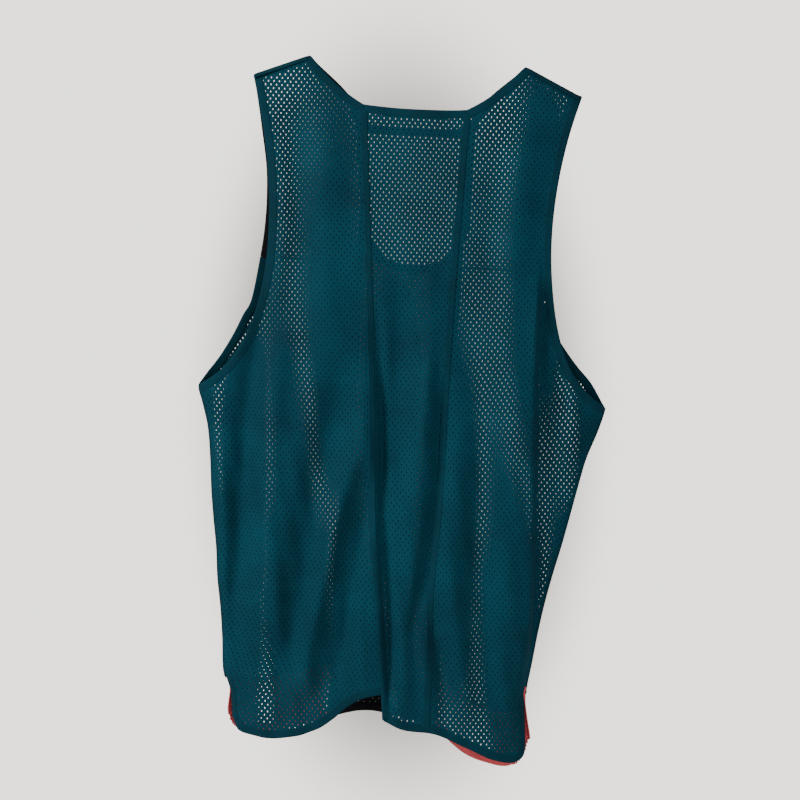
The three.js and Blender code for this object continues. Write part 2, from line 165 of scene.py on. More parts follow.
@dataclass(frozen=True)
class Pattern:
    """The garment's outline on the pattern table, in millimetres, z down from the neck points."""

    neck_half: float = 116.7
    shoulder_half: float = 175.0
    shoulder_drop: float = 27.0
    back_neck_half: float = 55.5
    back_neck_drop: float = 50.0
    back_neck_sag: float = 2.5
    slope_sag: float = 5.0
    chest_half: float = 148.5
    chest_drop: float = 195.0
    armpit_half: float = 217.0
    armpit_drop: float = 356.0
    yoke_drop: float = 213.0
    slit_drop: float = 667.0
    hem_drop: float = 740.0
    hem_panel_height: float = 58.0
    front_seam_half: float = 56.0
    hem_width: float = 9.0
    seam_under: float = 2.6

    def body_half(self, x: np.ndarray, z: np.ndarray) -> np.ndarray:
        """Half width of the hanging body at height z, on the side of x; it swings a little to the left.

        Args:
            x: tells the side by its sign.
            z: heights.

        Returns:
            Half widths in millimetres.
        """
        left = [(302, 222), (356, 217), (375, 211), (400, 204), (434, 199.5), (467, 196.6), (498, 192.6),
                (529, 188), (561, 185), (593, 180), (625, 176.3), (662, 173), (673, 167.5), (684, 164),
                (740, 159)]
        right = [(302, 226), (352, 222.5), (381, 215), (413, 203.5), (445, 196), (477, 189), (508, 182),
                 (540, 174), (572, 167), (604, 161.5), (636, 157), (662, 153), (680, 151.5), (740, 155.5)]
        drop = -np.asarray(z, float)
        return np.where(np.asarray(x) < 0, smooth_through(left)(drop), smooth_through(right)(drop))

    def body_depth(self, z: np.ndarray) -> np.ndarray:
        """Depth of either cloth from the middle plane at height z."""
        return smooth_through([(0, 12), (195, 25), (470, 32), (740, 34)])(-np.asarray(z))

    def shoulder_height(self, x: np.ndarray) -> np.ndarray:
        """Height of the shoulder line: level across the neck, falling along the seams."""
        beyond = np.maximum(np.abs(x) - self.neck_half, 0)
        drop = np.where(np.asarray(x) < 0, self.shoulder_drop - 4.5, self.shoulder_drop)
        return -drop * beyond / (self.shoulder_half - self.neck_half)

    def slanting_neck(self) -> Line:
        """The right slanting edge of the back neck, from the neck point to its corner."""
        corner = (self.back_neck_half, -self.back_neck_drop)
        middle = ((self.neck_half + self.back_neck_half) / 2, -self.back_neck_drop / 2 - 2 * self.slope_sag)
        line = bezier([(self.neck_half, 0), middle, corner], 24)
        return np.concatenate([line, [[self.back_neck_half - 2.5, -self.back_neck_drop - 1.6]]])

    def back_neck(self) -> Line:
        """The straight run of the back neck, from left to right."""
        half, drop = self.back_neck_half, self.back_neck_drop
        return bezier([(-half, -drop), (0, -drop - 2 * self.back_neck_sag), (half, -drop)], 40)

    def armhole(self, side: Side, hand: int) -> Line:
        """An armhole of one cloth, from the shoulder tip to the armpit.

        Args:
            side: which cloth.
            hand: -1 for the wearer's left, 1 for the right.

        Returns:
            The outline.
        """
        if side is Side.FRONT:
            left = [(-175, -23), (-169.5, -48), (-164, -77), (-157, -117), (-155, -152), (-156, -186),
                    (-159.5, -218.5), (-166, -260.6), (-173.8, -277), (-183, -298.5), (-196, -323),
                    (-208, -341), (-217, -356)]
            right = [(175, -27), (166, -50), (157, -80), (150, -120), (147, -160), (147, -200), (150, -240),
                     (158, -270), (172, -291), (189, -313), (206, -332), (220, -356)]
            return spline(left if hand < 0 else right, 90)
        half, drop = self.chest_half, self.chest_drop
        inwards, fall = self.shoulder_half - half, drop - self.shoulder_drop
        rest, out = self.armpit_drop - drop, self.armpit_half - half
        upper = bezier([
            (self.shoulder_half, -self.shoulder_drop),
            (self.shoulder_half - 0.45 * inwards, -self.shoulder_drop - 0.21 * fall),
            (half, -self.shoulder_drop - 0.55 * fall),
            (half, -drop),
        ], 40)
        lower = bezier([
            (half, -drop),
            (half, -drop - 0.41 * rest),
            (half + 0.26 * out, -drop - 0.86 * rest),
            (self.armpit_half, -self.armpit_drop),
        ], 40)
        line = np.concatenate([upper, lower[1:]]) * np.array([hand, 1])
        if hand > 0:
            line[:, 0] += 3 + 2.5 * np.exp(-(((line[:, 1] + 250) / 60) ** 2))
        line[:, 1] += np.clip((line[:, 1] + 60) / 33, 0, 1) * (4 if hand < 0 else 0)
        return line

    def front_neck(self) -> Line:
        """The front neck, from the left neck point down, round the scoop and up to the right."""
        return spline([(-self.neck_half, 0), (-76, -34), (-57, -62), (-49, -120), (-44.5, -167), (-39, -190),
                       (-25, -206), (6, -214.5), (38, -206), (51, -190), (57, -167), (58.5, -120), (60, -62),
                       (78, -34), (self.neck_half, 0)], 180)

    def back_seam(self, hand: int) -> Line:
        """A seam of the centre back, from the neck to below the hem."""
        left = [(-self.back_neck_half, -50), (-37, -261), (-27, -405), (-20, -508), (-5, -616), (4, -704)]
        right = [(self.back_neck_half, -50), (49, -260), (48, -460), (44, -560), (46, -640), (47, -716)]
        return spline(left if hand < 0 else right, 160)

    def back_hem(self, hand: int) -> Line:
        """The back hem either side of the left seam, from left to right."""
        left = [(-157, -714), (-151, -723), (-121, -727), (-98, -724), (-83, -720), (-65, -711), (-52, -701),
                (-38, -688), (-20, -677), (6, -671)]
        right = [(1, -700), (24, -709), (51, -711), (66, -715), (97, -728), (119, -737), (141, -740.5),
                 (151.5, -736), (155, -728)]
        return spline(left if hand < 0 else right, 100)

    def front_hem(self) -> Line:
        """The front hem, from left to right."""
        return spline([(-164, -709), (-161, -718), (-153, -724), (-124, -729), (-62, -711.5), (-20, -701),
                       (28, -708), (52, -714.5), (67, -723), (78, -732), (90, -740.5), (104, -746.2),
                       (118, -749.7), (131, -751.5), (141, -749.5), (148.5, -742.5),
                       (152.5, -731), (155.5, -717)], 200)


PATTERN = Pattern()
TILT = math.radians(3.1)


# ---------------------------------------------------------------- folds and drape


@dataclass(frozen=True)
class Fold:
    """A soft ridge or valley along a line on the pattern.

    path is the line from top to bottom, height how far it stands out, width its half width at half
    height, lean how much wider its right flank is than its left, and fade the length of its ends.
    """

    path: Knots
    height: float
    width: float
    lean: float = 0.0
    fade: float = 60.0

    def line_at(self, z: np.ndarray) -> Tuple[np.ndarray, np.ndarray]:
        """Where the fold's line lies at each height, and how much of the fold is left there.

        Args:
            z: heights.

        Returns:
            The place across and a share from 0 to 1, for each height.
        """
        line = spline(self.path, 40)
        order = np.argsort(line[:, 1])
        centre = np.interp(z, line[order, 1], line[order, 0])
        outside = np.maximum(z - line[order[-1], 1], line[order[0], 1] - z)
        return centre, 1 / (1 + np.exp(np.clip((outside + self.fade * 0.3) / (self.fade * 0.22), -30, 30)))

    def at(self, x: np.ndarray, z: np.ndarray) -> np.ndarray:
        """How far the fold lifts each place of the cloth, in millimetres.

        Args:
            x, z: places on the pattern.

        Returns:
            The lift at each place.
        """
        centre, ends = self.line_at(z)
        away = (x - centre) / self.width
        away = np.where(away > 0, away * (1 - self.lean), away * (1 + self.lean))
        return self.height * ends * np.exp(-0.69 * away * away)


@dataclass(frozen=True)
class Overlap(Fold):
    """A fold whose left flank stands out and then drops sharply, so that it shades what lies beyond.

    height is how far it drops, width how far each flank takes to come back to the cloth, and lean
    how wide the drop itself is, in millimetres.
    """

    def at(self, x: np.ndarray, z: np.ndarray) -> np.ndarray:
        """How far the fold lifts each place of the cloth, in millimetres.

        Args:
            x, z: places on the pattern.

        Returns:
            The lift at each place.
        """
        centre, ends = self.line_at(z)
        away = x - centre
        drop = np.tanh(away / self.lean)
        flank = np.exp(-np.abs(away) / np.where(away < 0, self.width, 0.6 * self.width))
        return -0.5 * self.height * ends * drop * flank


BACK_FOLDS: List[Fold] = [
    # the long valley down the left side and the ridge that rolls beside it
    Fold([(-146, -262), (-157, -337), (-161, -410), (-162, -480), (-163, -540), (-166, -600)], -11, 13, 0.1),
    Fold([(-128, -290), (-133, -360), (-134, -430), (-133, -520), (-134, -620)], 7, 16),
    Fold([(-187, -400), (-184, -470), (-178, -540), (-170, -610)], 5, 10),
    # slanting drapes that run down and outwards from the left seam
    Fold([(-31, -425), (-44, -480), (-54, -534), (-62, -590), (-72, -650)], -9, 9, 0.2),
    Fold([(-22, -440), (-30, -490), (-40, -554), (-44, -618), (-52, -680)], -7, 8),
    Fold([(-42, -400), (-56, -480), (-70, -560), (-84, -640), (-96, -700)], 7, 12),
    Fold([(-60, -330), (-78, -430), (-92, -520), (-100, -600), (-112, -680)], -6, 16, 0.1),
    Fold([(-86, -300), (-100, -400), (-112, -500), (-118, -600), (-126, -690)], 5, 15),
    Fold([(-46, -570), (-58, -640), (-78, -700)], -6, 10),
    Fold([(-96, -60), (-92, -140), (-84, -230), (-80, -320)], 4, 18),
    Fold([(-128, -40), (-120, -120), (-112, -200), (-110, -270)], -4, 14),
    Fold([(-150, -60), (-136, -150), (-134, -230), (-140, -300)], 3, 8),
    # the centre panel sinks between its seams lower down
    Fold([(-4, -240), (-4, -300), (-5, -380), (4, -470)], -6, 12),
    Fold([(-30, -256), (-20, -362), (-11, -468), (-1, -573), (6, -690)], -7, 7, -0.3),
    Fold([(26, -300), (24, -400), (22, -480), (22, -560)], 5, 9),
    Fold([(40, -320), (44, -400), (43, -464), (36, -529), (29, -600)], -8, 7, 0.3),
    Fold([(14, -560), (18, -620), (22, -700)], 6, 8),
    # right side: drapes below the seam and the overlapping edge near the side
    Fold([(47, -560), (53, -613), (63, -660), (68, -700)], -8, 8, 0.2),
    Fold([(64, -400), (66, -500), (70, -580), (82, -660), (90, -710)], 6, 13),
    Fold([(86, -330), (90, -430), (94, -530), (102, -620), (112, -700)], -5, 14),
    Fold([(120, -290), (122, -400), (126, -500), (128, -600), (130, -700)], 5, 15),
    Overlap([(143, -225), (144, -300), (145, -353), (149, -438), (153, -544), (154, -607), (153, -690)],
            17, 26, 2.2, 40),
    Overlap([(-26, -330), (-20, -405), (-14, -508), (-3, -616), (4, -690)], 9, 16, 2.0, 50),
    Fold([(168, -309), (171, -345), (173, -373)], -6, 6, 0.0, 30),
    Fold([(180, -340), (184, -380), (186, -440)], 4, 8, 0.0, 40),
    Fold([(92, -60), (88, -150), (82, -240), (80, -320)], -4, 16),
    Fold([(124, -60), (118, -140), (112, -220), (108, -290)], 4, 14),
]

FRONT_FOLDS: List[Fold] = [
    Fold([(-150, -300), (-158, -400), (-160, -500), (-158, -620)], -6, 18),
    Fold([(-112, -260), (-118, -380), (-120, -520), (-122, -680)], 5, 24),
    Fold([(-60, -250), (-64, -380), (-66, -520), (-70, -700)], -5, 24),
    Fold([(2, -240), (4, -380), (6, -520), (6, -690)], 4, 22),
    Fold([(64, -250), (66, -380), (70, -520), (76, -710)], -5, 24),
    Fold([(120, -260), (124, -380), (128, -520), (132, -720)], 5, 22),
]


class Drape:
    """Hangs flat cloth on the body form and lays its folds.

    The arc length across each row is kept in a table, so that the knit stays its real size where
    the cloth turns towards or away from the eye.
    """

    SHOULDER_ROLL = 14.0
    STEP_X = 1.5
    STEP_Z = 4.0

    def __init__(self, pattern: Pattern) -> None:
        """Works out the arc length tables of both cloths."""
        self.pattern = pattern
        self.xs = np.arange(-228, 228 + self.STEP_X, self.STEP_X)
        self.zs = np.arange(-780, 4 + self.STEP_Z, self.STEP_Z)
        self.arc: Dict[Side, np.ndarray] = {side: self._arc_table(side) for side in Side}

    def half(self, x: np.ndarray, z: np.ndarray, side: Side) -> np.ndarray:
        """Half width of one cloth; the front flares past the back below the slits, more on the left.

        Args:
            x: tells the side by its sign.
            z: heights.
            side: which cloth.

        Returns:
            Half widths in millimetres.
        """
        z = np.asarray(z, float)
        below = -z - self.pattern.slit_drop
        left, right = 5.0 * np.clip((below - 10) / 24, 0, 1), 6.0 * np.clip(below / 50, 0, 1)
        flare = np.where(np.asarray(x) < 0, left, right)
        return self.pattern.body_half(x, z) + (flare if side is Side.FRONT else 0.0)

    def stretched(self, x: np.ndarray, z: np.ndarray, side: Side) -> np.ndarray:
        """Where each place lies on the knit: pulled about by a millimetre or two, in tall uneven patches.

        Args:
            x, z: places on the pattern.
            side: which cloth.

        Returns:
            Flat places on the knit's lattice, in metres.
        """
        half = self.half(x, z, side)
        depth = self.pattern.body_depth(z) * np.sqrt(np.clip(1 - (x / half) ** 2, 0, 1))
        scale = (2000 - depth) / (2000 + depth) if side is Side.FRONT else 1.0
        x, z = x * scale, -360.5 + (z + 360.5) * scale
        pull = 0.8 * np.sin(x / 29.0 + z / 160.0) + 0.6 * np.sin(z / 75.0 - x / 41.0)
        if side is Side.FRONT:
            apart = np.clip((-z - 120) / 220, 0.3, 1)
            pull = pull + 0.8 * (1 - apart)
            uneven = 1.5 * np.sin(x / 18.0 + z / 170.0 + 0.9) + 1.0 * np.sin(x / 33.0 - z / 115.0 + 2.0)
            pull = pull + apart * uneven
        return np.stack([self.arc_length(x, z, Side.BACK) + pull, z, np.zeros_like(x)], axis=-1) * MM

    def folds(self, x: np.ndarray, z: np.ndarray, side: Side) -> np.ndarray:
        """How far the folds lift the cloth, fading out over the straps and at the side seams.

        Args:
            x, z: places on the pattern.
            side: which cloth.

        Returns:
            The lift at each place, in millimetres.
        """
        chosen = BACK_FOLDS if side is Side.BACK else FRONT_FOLDS
        lift = sum(fold.at(x, z) for fold in chosen)
        # fine slanting wrinkles, strongest low on the left, and a slow unevenness everywhere
        low = np.clip((-z - 330) / 160, 0, 1)
        slant = np.sin((x + 0.23 * z) / 3.9 + 1.4 * np.sin(z / 61.0)) * np.sin((x + 0.2 * z) / 23.0 + z / 140.0)
        lift = lift + low * slant * np.where(x < -20, 1.1, 0.7)
        lift = lift + 1.2 * np.sin(x / 11.0 + z / 47.0 + 1.1 * np.sin(z / 38.0)) * np.sin(z / 83.0 - x / 60.0)
        edge = np.clip((self.half(x, z, side) - np.abs(x)) / 14.0, 0, 1)
        top = np.clip((self.pattern.shoulder_height(x) - z) / 60.0, 0, 1)
        return lift * edge * edge * (3 - 2 * edge) * top * top * (3 - 2 * top)

    def surface(self, x: np.ndarray, z: np.ndarray, side: Side) -> np.ndarray:
        """Places of the cloth's middle surface on the pattern, in garment millimetres.

        Args:
            x: across the pattern.
            z: up it.
            side: which cloth.

        Returns:
            An array of (x, y, z) points, not yet tilted.
        """
        x, z = np.broadcast_arrays(np.asarray(x, float), np.asarray(z, float))
        half = self.half(x, z, side)
        over = np.maximum(np.abs(x) - half, 0)  # cloth past the side edge turns round to the other cloth
        x = x - np.sign(x) * 2 * over
        across = np.clip(x / half, -1, 1)
        drop = np.clip((self.pattern.shoulder_height(x) - z) / self.SHOULDER_ROLL, 0, 1)
        rolled = np.sqrt(np.clip(1 - (1 - drop) ** 2, 0, 1))
        y = self.pattern.body_depth(z) * np.sqrt(np.clip(1 - across**2, 0, 1)) * rolled
        y = np.where(over > 0, -y, y + self.folds(x, z, side))
        lift = 2.4 * np.clip((z + 150) / 90, 0, 1) + 1.8 * np.clip((z + 50) / 50, 0, 1)
        return np.stack([x, side.value * y, z + lift], axis=-1)

    def _arc_table(self, side: Side) -> np.ndarray:
        """Arc length from the centre line, at every table row and column.

        Args:
            side: which cloth.

        Returns:
            The table, one row for each height.
        """
        grid_x, grid_z = np.meshgrid(self.xs, self.zs)
        points = self.surface(grid_x, grid_z, side)
        steps = np.linalg.norm(np.diff(points[:, :, :2], axis=1), axis=2)
        steps = np.minimum(steps, 4 * self.STEP_X)
        arc = np.concatenate([np.zeros((len(self.zs), 1)), np.cumsum(steps, axis=1)], axis=1)
        middle = np.array([np.interp(0, self.xs, row) for row in arc])
        return arc - middle[:, None]

    def arc_length(self, x: np.ndarray, z: np.ndarray, side: Side) -> np.ndarray:
        """Arc length across the cloth from the centre line to each place.

        Args:
            x, z: places on the pattern.
            side: which cloth.

        Returns:
            Arc lengths in millimetres, negative to the left.
        """
        table = self.arc[side]
        fx = np.clip((np.asarray(x) - self.xs[0]) / self.STEP_X, 0, len(self.xs) - 1.001)
        fz = np.clip((np.asarray(z) - self.zs[0]) / self.STEP_Z, 0, len(self.zs) - 1.001)
        i, j = fx.astype(int), fz.astype(int)
        tx, tz = fx - i, fz - j
        low = table[j, i] * (1 - tx) + table[j, i + 1] * tx
        high = table[j + 1, i] * (1 - tx) + table[j + 1, i + 1] * tx
        return low * (1 - tz) + high * tz


def to_frame(points: np.ndarray) -> np.ndarray:
    """Tilts garment points to how the vest hangs, and turns millimetres to metres.

    Args:
        points: garment points.

    Returns:
        The same points in the vest's own frame.
    """
    x, y, z = points[..., 0], points[..., 1], points[..., 2]
    cos, sin = math.cos(TILT), math.sin(TILT)
    return np.stack([x * cos + z * sin, y, -x * sin + z * cos], axis=-1) * MM


# ---------------------------------------------------------------- finishes


def linear(hex_colour: str) -> Tuple[float, float, float, float]:
    """An sRGB hex colour as linear RGBA.

    Args:
        hex_colour: such as "#104656".

    Returns:
        Four channels from 0 to 1.
    """
    channels = [int(hex_colour[i:i + 2], 16) / 255 for i in (1, 3, 5)]
    turned = [c / 12.92 if c <= 0.04045 else ((c + 0.055) / 1.055) ** 2.4 for c in channels]
    return (*turned, 1.0)


def add_node(tree: bpy.types.NodeTree, kind: str, settings: Optional[dict] = None,
             links: Optional[dict] = None) -> bpy.types.Node:
    """Adds a node, sets its properties and inputs, and links it.

    Args:
        tree: the node tree.
        kind: the node's type.
        settings: property or input names to values; an input is given as its name or index.
        links: input names or indices to output sockets.

    Returns:
        The new node.
    """
    node = tree.nodes.new(kind)
    for name, value in (settings or {}).items():
        if isinstance(name, str) and hasattr(node, name):
            setattr(node, name, value)
        else:
            node.inputs[name].default_value = value
    for name, socket in (links or {}).items():
        tree.links.new(socket, node.inputs[name])
    return node


@dataclass(frozen=True)
class KnitFinish:
    """Knitted polyester: a matt filament yarn with a soft sheen at grazing angles.

    Real yarn loops are about 0.45 mm across. They are drawn 1.1 mm across, to show at the usual distance.
    """

    name: str
    slot: str
    light: str
    dark: str
    roughness: float = 0.72
    sheen: float = 0.02
    loop_mm: float = 1.1
    bump: float = 0.35

    def material(self) -> bpy.types.Material:
        """Builds the material, or gives back the one already built.

        Returns:
            The material.
        """
        known = bpy.data.materials.get(self.name)
        if known:
            return known
        made = bpy.data.materials.new(self.name)
        made.use_nodes = True
        tree = made.node_tree
        tree.nodes.clear()
        out = add_node(tree, "ShaderNodeOutputMaterial")
        shader = add_node(tree, "ShaderNodeBsdfPrincipled", {
            "Sheen Weight": self.sheen, "Sheen Roughness": 0.45, "IOR": 1.5, "Specular IOR Level": 0.08,
        })
        tree.links.new(shader.outputs["BSDF"], out.inputs["Surface"])
        place = add_node(tree, "ShaderNodeTexCoord")
        # broad, uneven dye and handling marks, about 60 mm across
        broad = add_node(tree, "ShaderNodeTexNoise", {"Scale": 16.0, "Detail": 3.0, "Roughness": 0.6},
                         {"Vector": place.outputs["Object"]})
        # single yarns catch the light differently
        yarn = add_node(tree, "ShaderNodeTexNoise", {"Scale": 1 / (self.loop_mm * MM), "Detail": 1.0},
                        {"Vector": place.outputs["Object"]})
        both = add_node(tree, "ShaderNodeMath", {"operation": "MULTIPLY_ADD", 1: 0.45},
                        {0: yarn.outputs["Fac"], 2: broad.outputs["Fac"]})
        ramp = add_node(tree, "ShaderNodeMapRange", {"From Min": 0.45, "From Max": 1.0},
                        {"Value": both.outputs[0]})
        colour = add_node(tree, "ShaderNodeMix",
                          {"data_type": "RGBA", 6: linear(self.dark), 7: linear(self.light)},
                          {0: ramp.outputs["Result"]})
        tree.links.new(colour.outputs[2], shader.inputs["Base Color"])
        rough = add_node(tree, "ShaderNodeMapRange",
                         {"To Min": self.roughness + 0.1, "To Max": self.roughness - 0.08},
                         {"Value": yarn.outputs["Fac"]})
        tree.links.new(rough.outputs["Result"], shader.inputs["Roughness"])
        # columns of loops run up the cloth
        columns = add_node(tree, "ShaderNodeTexWave",
                           {"wave_type": "BANDS", "bands_direction": "X", "Scale": 0.314 / (self.loop_mm * MM),
                            "Distortion": 1.5, "Detail": 2.0, "Detail Scale": 2.0},
                           {"Vector": place.outputs["Object"]})
        height = add_node(tree, "ShaderNodeMath", {"operation": "ADD"},
                          {0: columns.outputs["Fac"], 1: yarn.outputs["Fac"]})
        bump = add_node(tree, "ShaderNodeBump", {"Strength": self.bump, "Distance": 0.0004},
                        {"Height": height.outputs[0]})
        tree.links.new(bump.outputs["Normal"], shader.inputs["Normal"])
        return made


TEAL = KnitFinish("teal_knitted_polyester_mesh", "teal_mesh", "#104656", "#0c3543")
TEAL_BAND = KnitFinish("teal_folded_polyester_hem", "teal_band", "#0e3e4d", "#0a2d39", bump=0.5)
BLACK = KnitFinish("black_knitted_polyester_mesh", "black_mesh", "#1d1d24", "#111116", sheen=0.15)
BLACK_BAND = KnitFinish("black_folded_polyester_hem", "black_band", "#191920", "#0e0e12", sheen=0.15, bump=0.5)
RED = KnitFinish("coral_knitted_polyester_mesh", "red_mesh", "#ef6a70", "#dc5259")
RED_BAND = KnitFinish("coral_folded_polyester_hem", "red_band", "#f06a6e", "#dc565b", bump=0.5)
TEAL_THREAD = KnitFinish("teal_spun_polyester_thread", "thread", "#14586b", "#0b3f4e",
                         roughness=0.6, loop_mm=0.5)
BLACK_THREAD = KnitFinish("black_spun_polyester_thread", "thread", "#24242b", "#131318",
                          roughness=0.6, loop_mm=0.5)
RED_THREAD = KnitFinish("coral_spun_polyester_thread", "thread", "#d64a54", "#b4343e",
                        roughness=0.6, loop_mm=0.5)
FLOOR = KnitFinish("pale_painted_floor", "", "#dcdad4", "#d6d4ce", sheen=0.0, bump=0.0)
THREADS = {TEAL_BAND: TEAL_THREAD, BLACK_BAND: BLACK_THREAD, RED_BAND: RED_THREAD}


# ---------------------------------------------------------------- meshes


def mesh_object(name: str, points: np.ndarray, faces: Sequence[Sequence[int]],
                finish: KnitFinish) -> bpy.types.Object:
    """Makes a smooth-shaded mesh object at the origin.

    Args:
        name: the piece's name.
        points: its vertices in metres.
        faces: vertex indices of each face.
        finish: what it is made of.

    Returns:
        The linked object.
    """
    mesh = bpy.data.meshes.new(name)
    mesh.from_pydata(points.tolist(), [], [list(map(int, f)) for f in faces])
    mesh.materials.append(finish.material())
    mesh.polygons.foreach_set("use_smooth", [True] * len(mesh.polygons))
    mesh.validate()
    made = bpy.data.objects.new(name, mesh)
    bpy.context.scene.collection.objects.link(made)
    return made


def grid_faces(rows: int, columns: int, flip: bool = False) -> List[Tuple[int, ...]]:
    """Quads of a grid of points laid out row by row.

    Args:
        rows, columns: the grid's size.
        flip: whether the quads face the other way.

    Returns:
        Four point indices for each quad.
    """
    faces = []
    for i in range(rows - 1):
        for j in range(columns - 1):
            a = i * columns + j
            quad = (a, a + 1, a + columns + 1, a + columns)
            faces.append(quad[::-1] if flip else quad)
    return faces


def facing_out(made: bpy.types.Object) -> None:
    """Turns a closed mesh's faces outwards.

    Args:
        made: the object, changed in place.
    """
    work = bmesh.new()
    work.from_mesh(made.data)
    bmesh.ops.recalc_face_normals(work, faces=work.faces)
    work.to_mesh(made.data)
    work.free()


def band_from_grid(name: str, middle: np.ndarray, thickness: float, finish: KnitFinish) -> bpy.types.Object:
    """A closed band with rounded long edges around a grid of middle points.

    Args:
        name: the piece's name.
        middle: garment points, rows along the band and columns across it.
        thickness: in millimetres.
        finish: what it is made of.

    Returns:
        The band.
    """
    rows, columns = middle.shape[:2]
    normal = np.cross(np.gradient(middle, axis=0), np.gradient(middle, axis=1))
    normal /= np.maximum(np.linalg.norm(normal, axis=2), 1e-9)[:, :, None]
    across = np.abs(np.linspace(-1, 1, columns))
    profile = np.sqrt(np.clip(1 - across**6, 0.12, 1))
    ends = np.ones(rows)
    ends[[0, -1]] = 0.5
    reach = normal * (thickness / 2 * profile[None, :] * ends[:, None])[:, :, None]
    ring = np.concatenate([middle + reach, (middle - reach)[:, ::-1]], axis=1)
    count = 2 * columns
    points = to_frame(ring.reshape(-1, 3))
    faces = []
    for i in range(rows - 1):
        for j in range(count):
            k = (j + 1) % count
            faces.append((i * count + j, i * count + k, (i + 1) * count + k, (i + 1) * count + j))
    for start in (0, (rows - 1) * count):
        for j in range(columns - 1):
            faces.append((start + j, start + j + 1, start + count - 2 - j, start + count - 1 - j))
    made = mesh_object(name, points, faces, finish)
    facing_out(made)
    return made


# ---------------------------------------------------------------- the open knit, by Geometry Nodes


def new_tree(name: str, numbers: Dict[str, str]) -> Tuple[bpy.types.NodeTree, bpy.types.Node, bpy.types.Node]:
    """Starts a Geometry Nodes tree that takes geometry, some numbers and a finish.

    Args:
        name: of the tree.
        numbers: the inputs between those two, by name, each with its kind of socket.

    Returns:
        The tree, its group input and its group output.
    """
    tree = bpy.data.node_groups.new(name, "GeometryNodeTree")
    for socket, kind in {"Geometry": "Geometry", **numbers, "Finish": "Material"}.items():
        tree.interface.new_socket(socket, in_out="INPUT", socket_type="NodeSocket" + kind)
    tree.interface.new_socket("Geometry", in_out="OUTPUT", socket_type="NodeSocketGeometry")
    return tree, add_node(tree, "NodeGroupInput"), add_node(tree, "NodeGroupOutput")


def finished(tree: bpy.types.NodeTree, last: bpy.types.Node, given: bpy.types.Node,
             out: bpy.types.Node) -> bpy.types.NodeTree:
    """Ends a tree: makes its instances real, gives them their finish and hands them out.

    Args:
        tree: the node tree.
        last: the node whose geometry it gives.
        given, out: its group input and output.

    Returns:
        The tree.
    """
    real = add_node(tree, "GeometryNodeRealizeInstances", None, {0: last.outputs[0]})
    named = add_node(tree, "GeometryNodeSetMaterial", None,
                     {"Geometry": real.outputs[0], "Material": given.outputs["Finish"]})
    tree.links.new(named.outputs[0], out.inputs[0])
    return tree


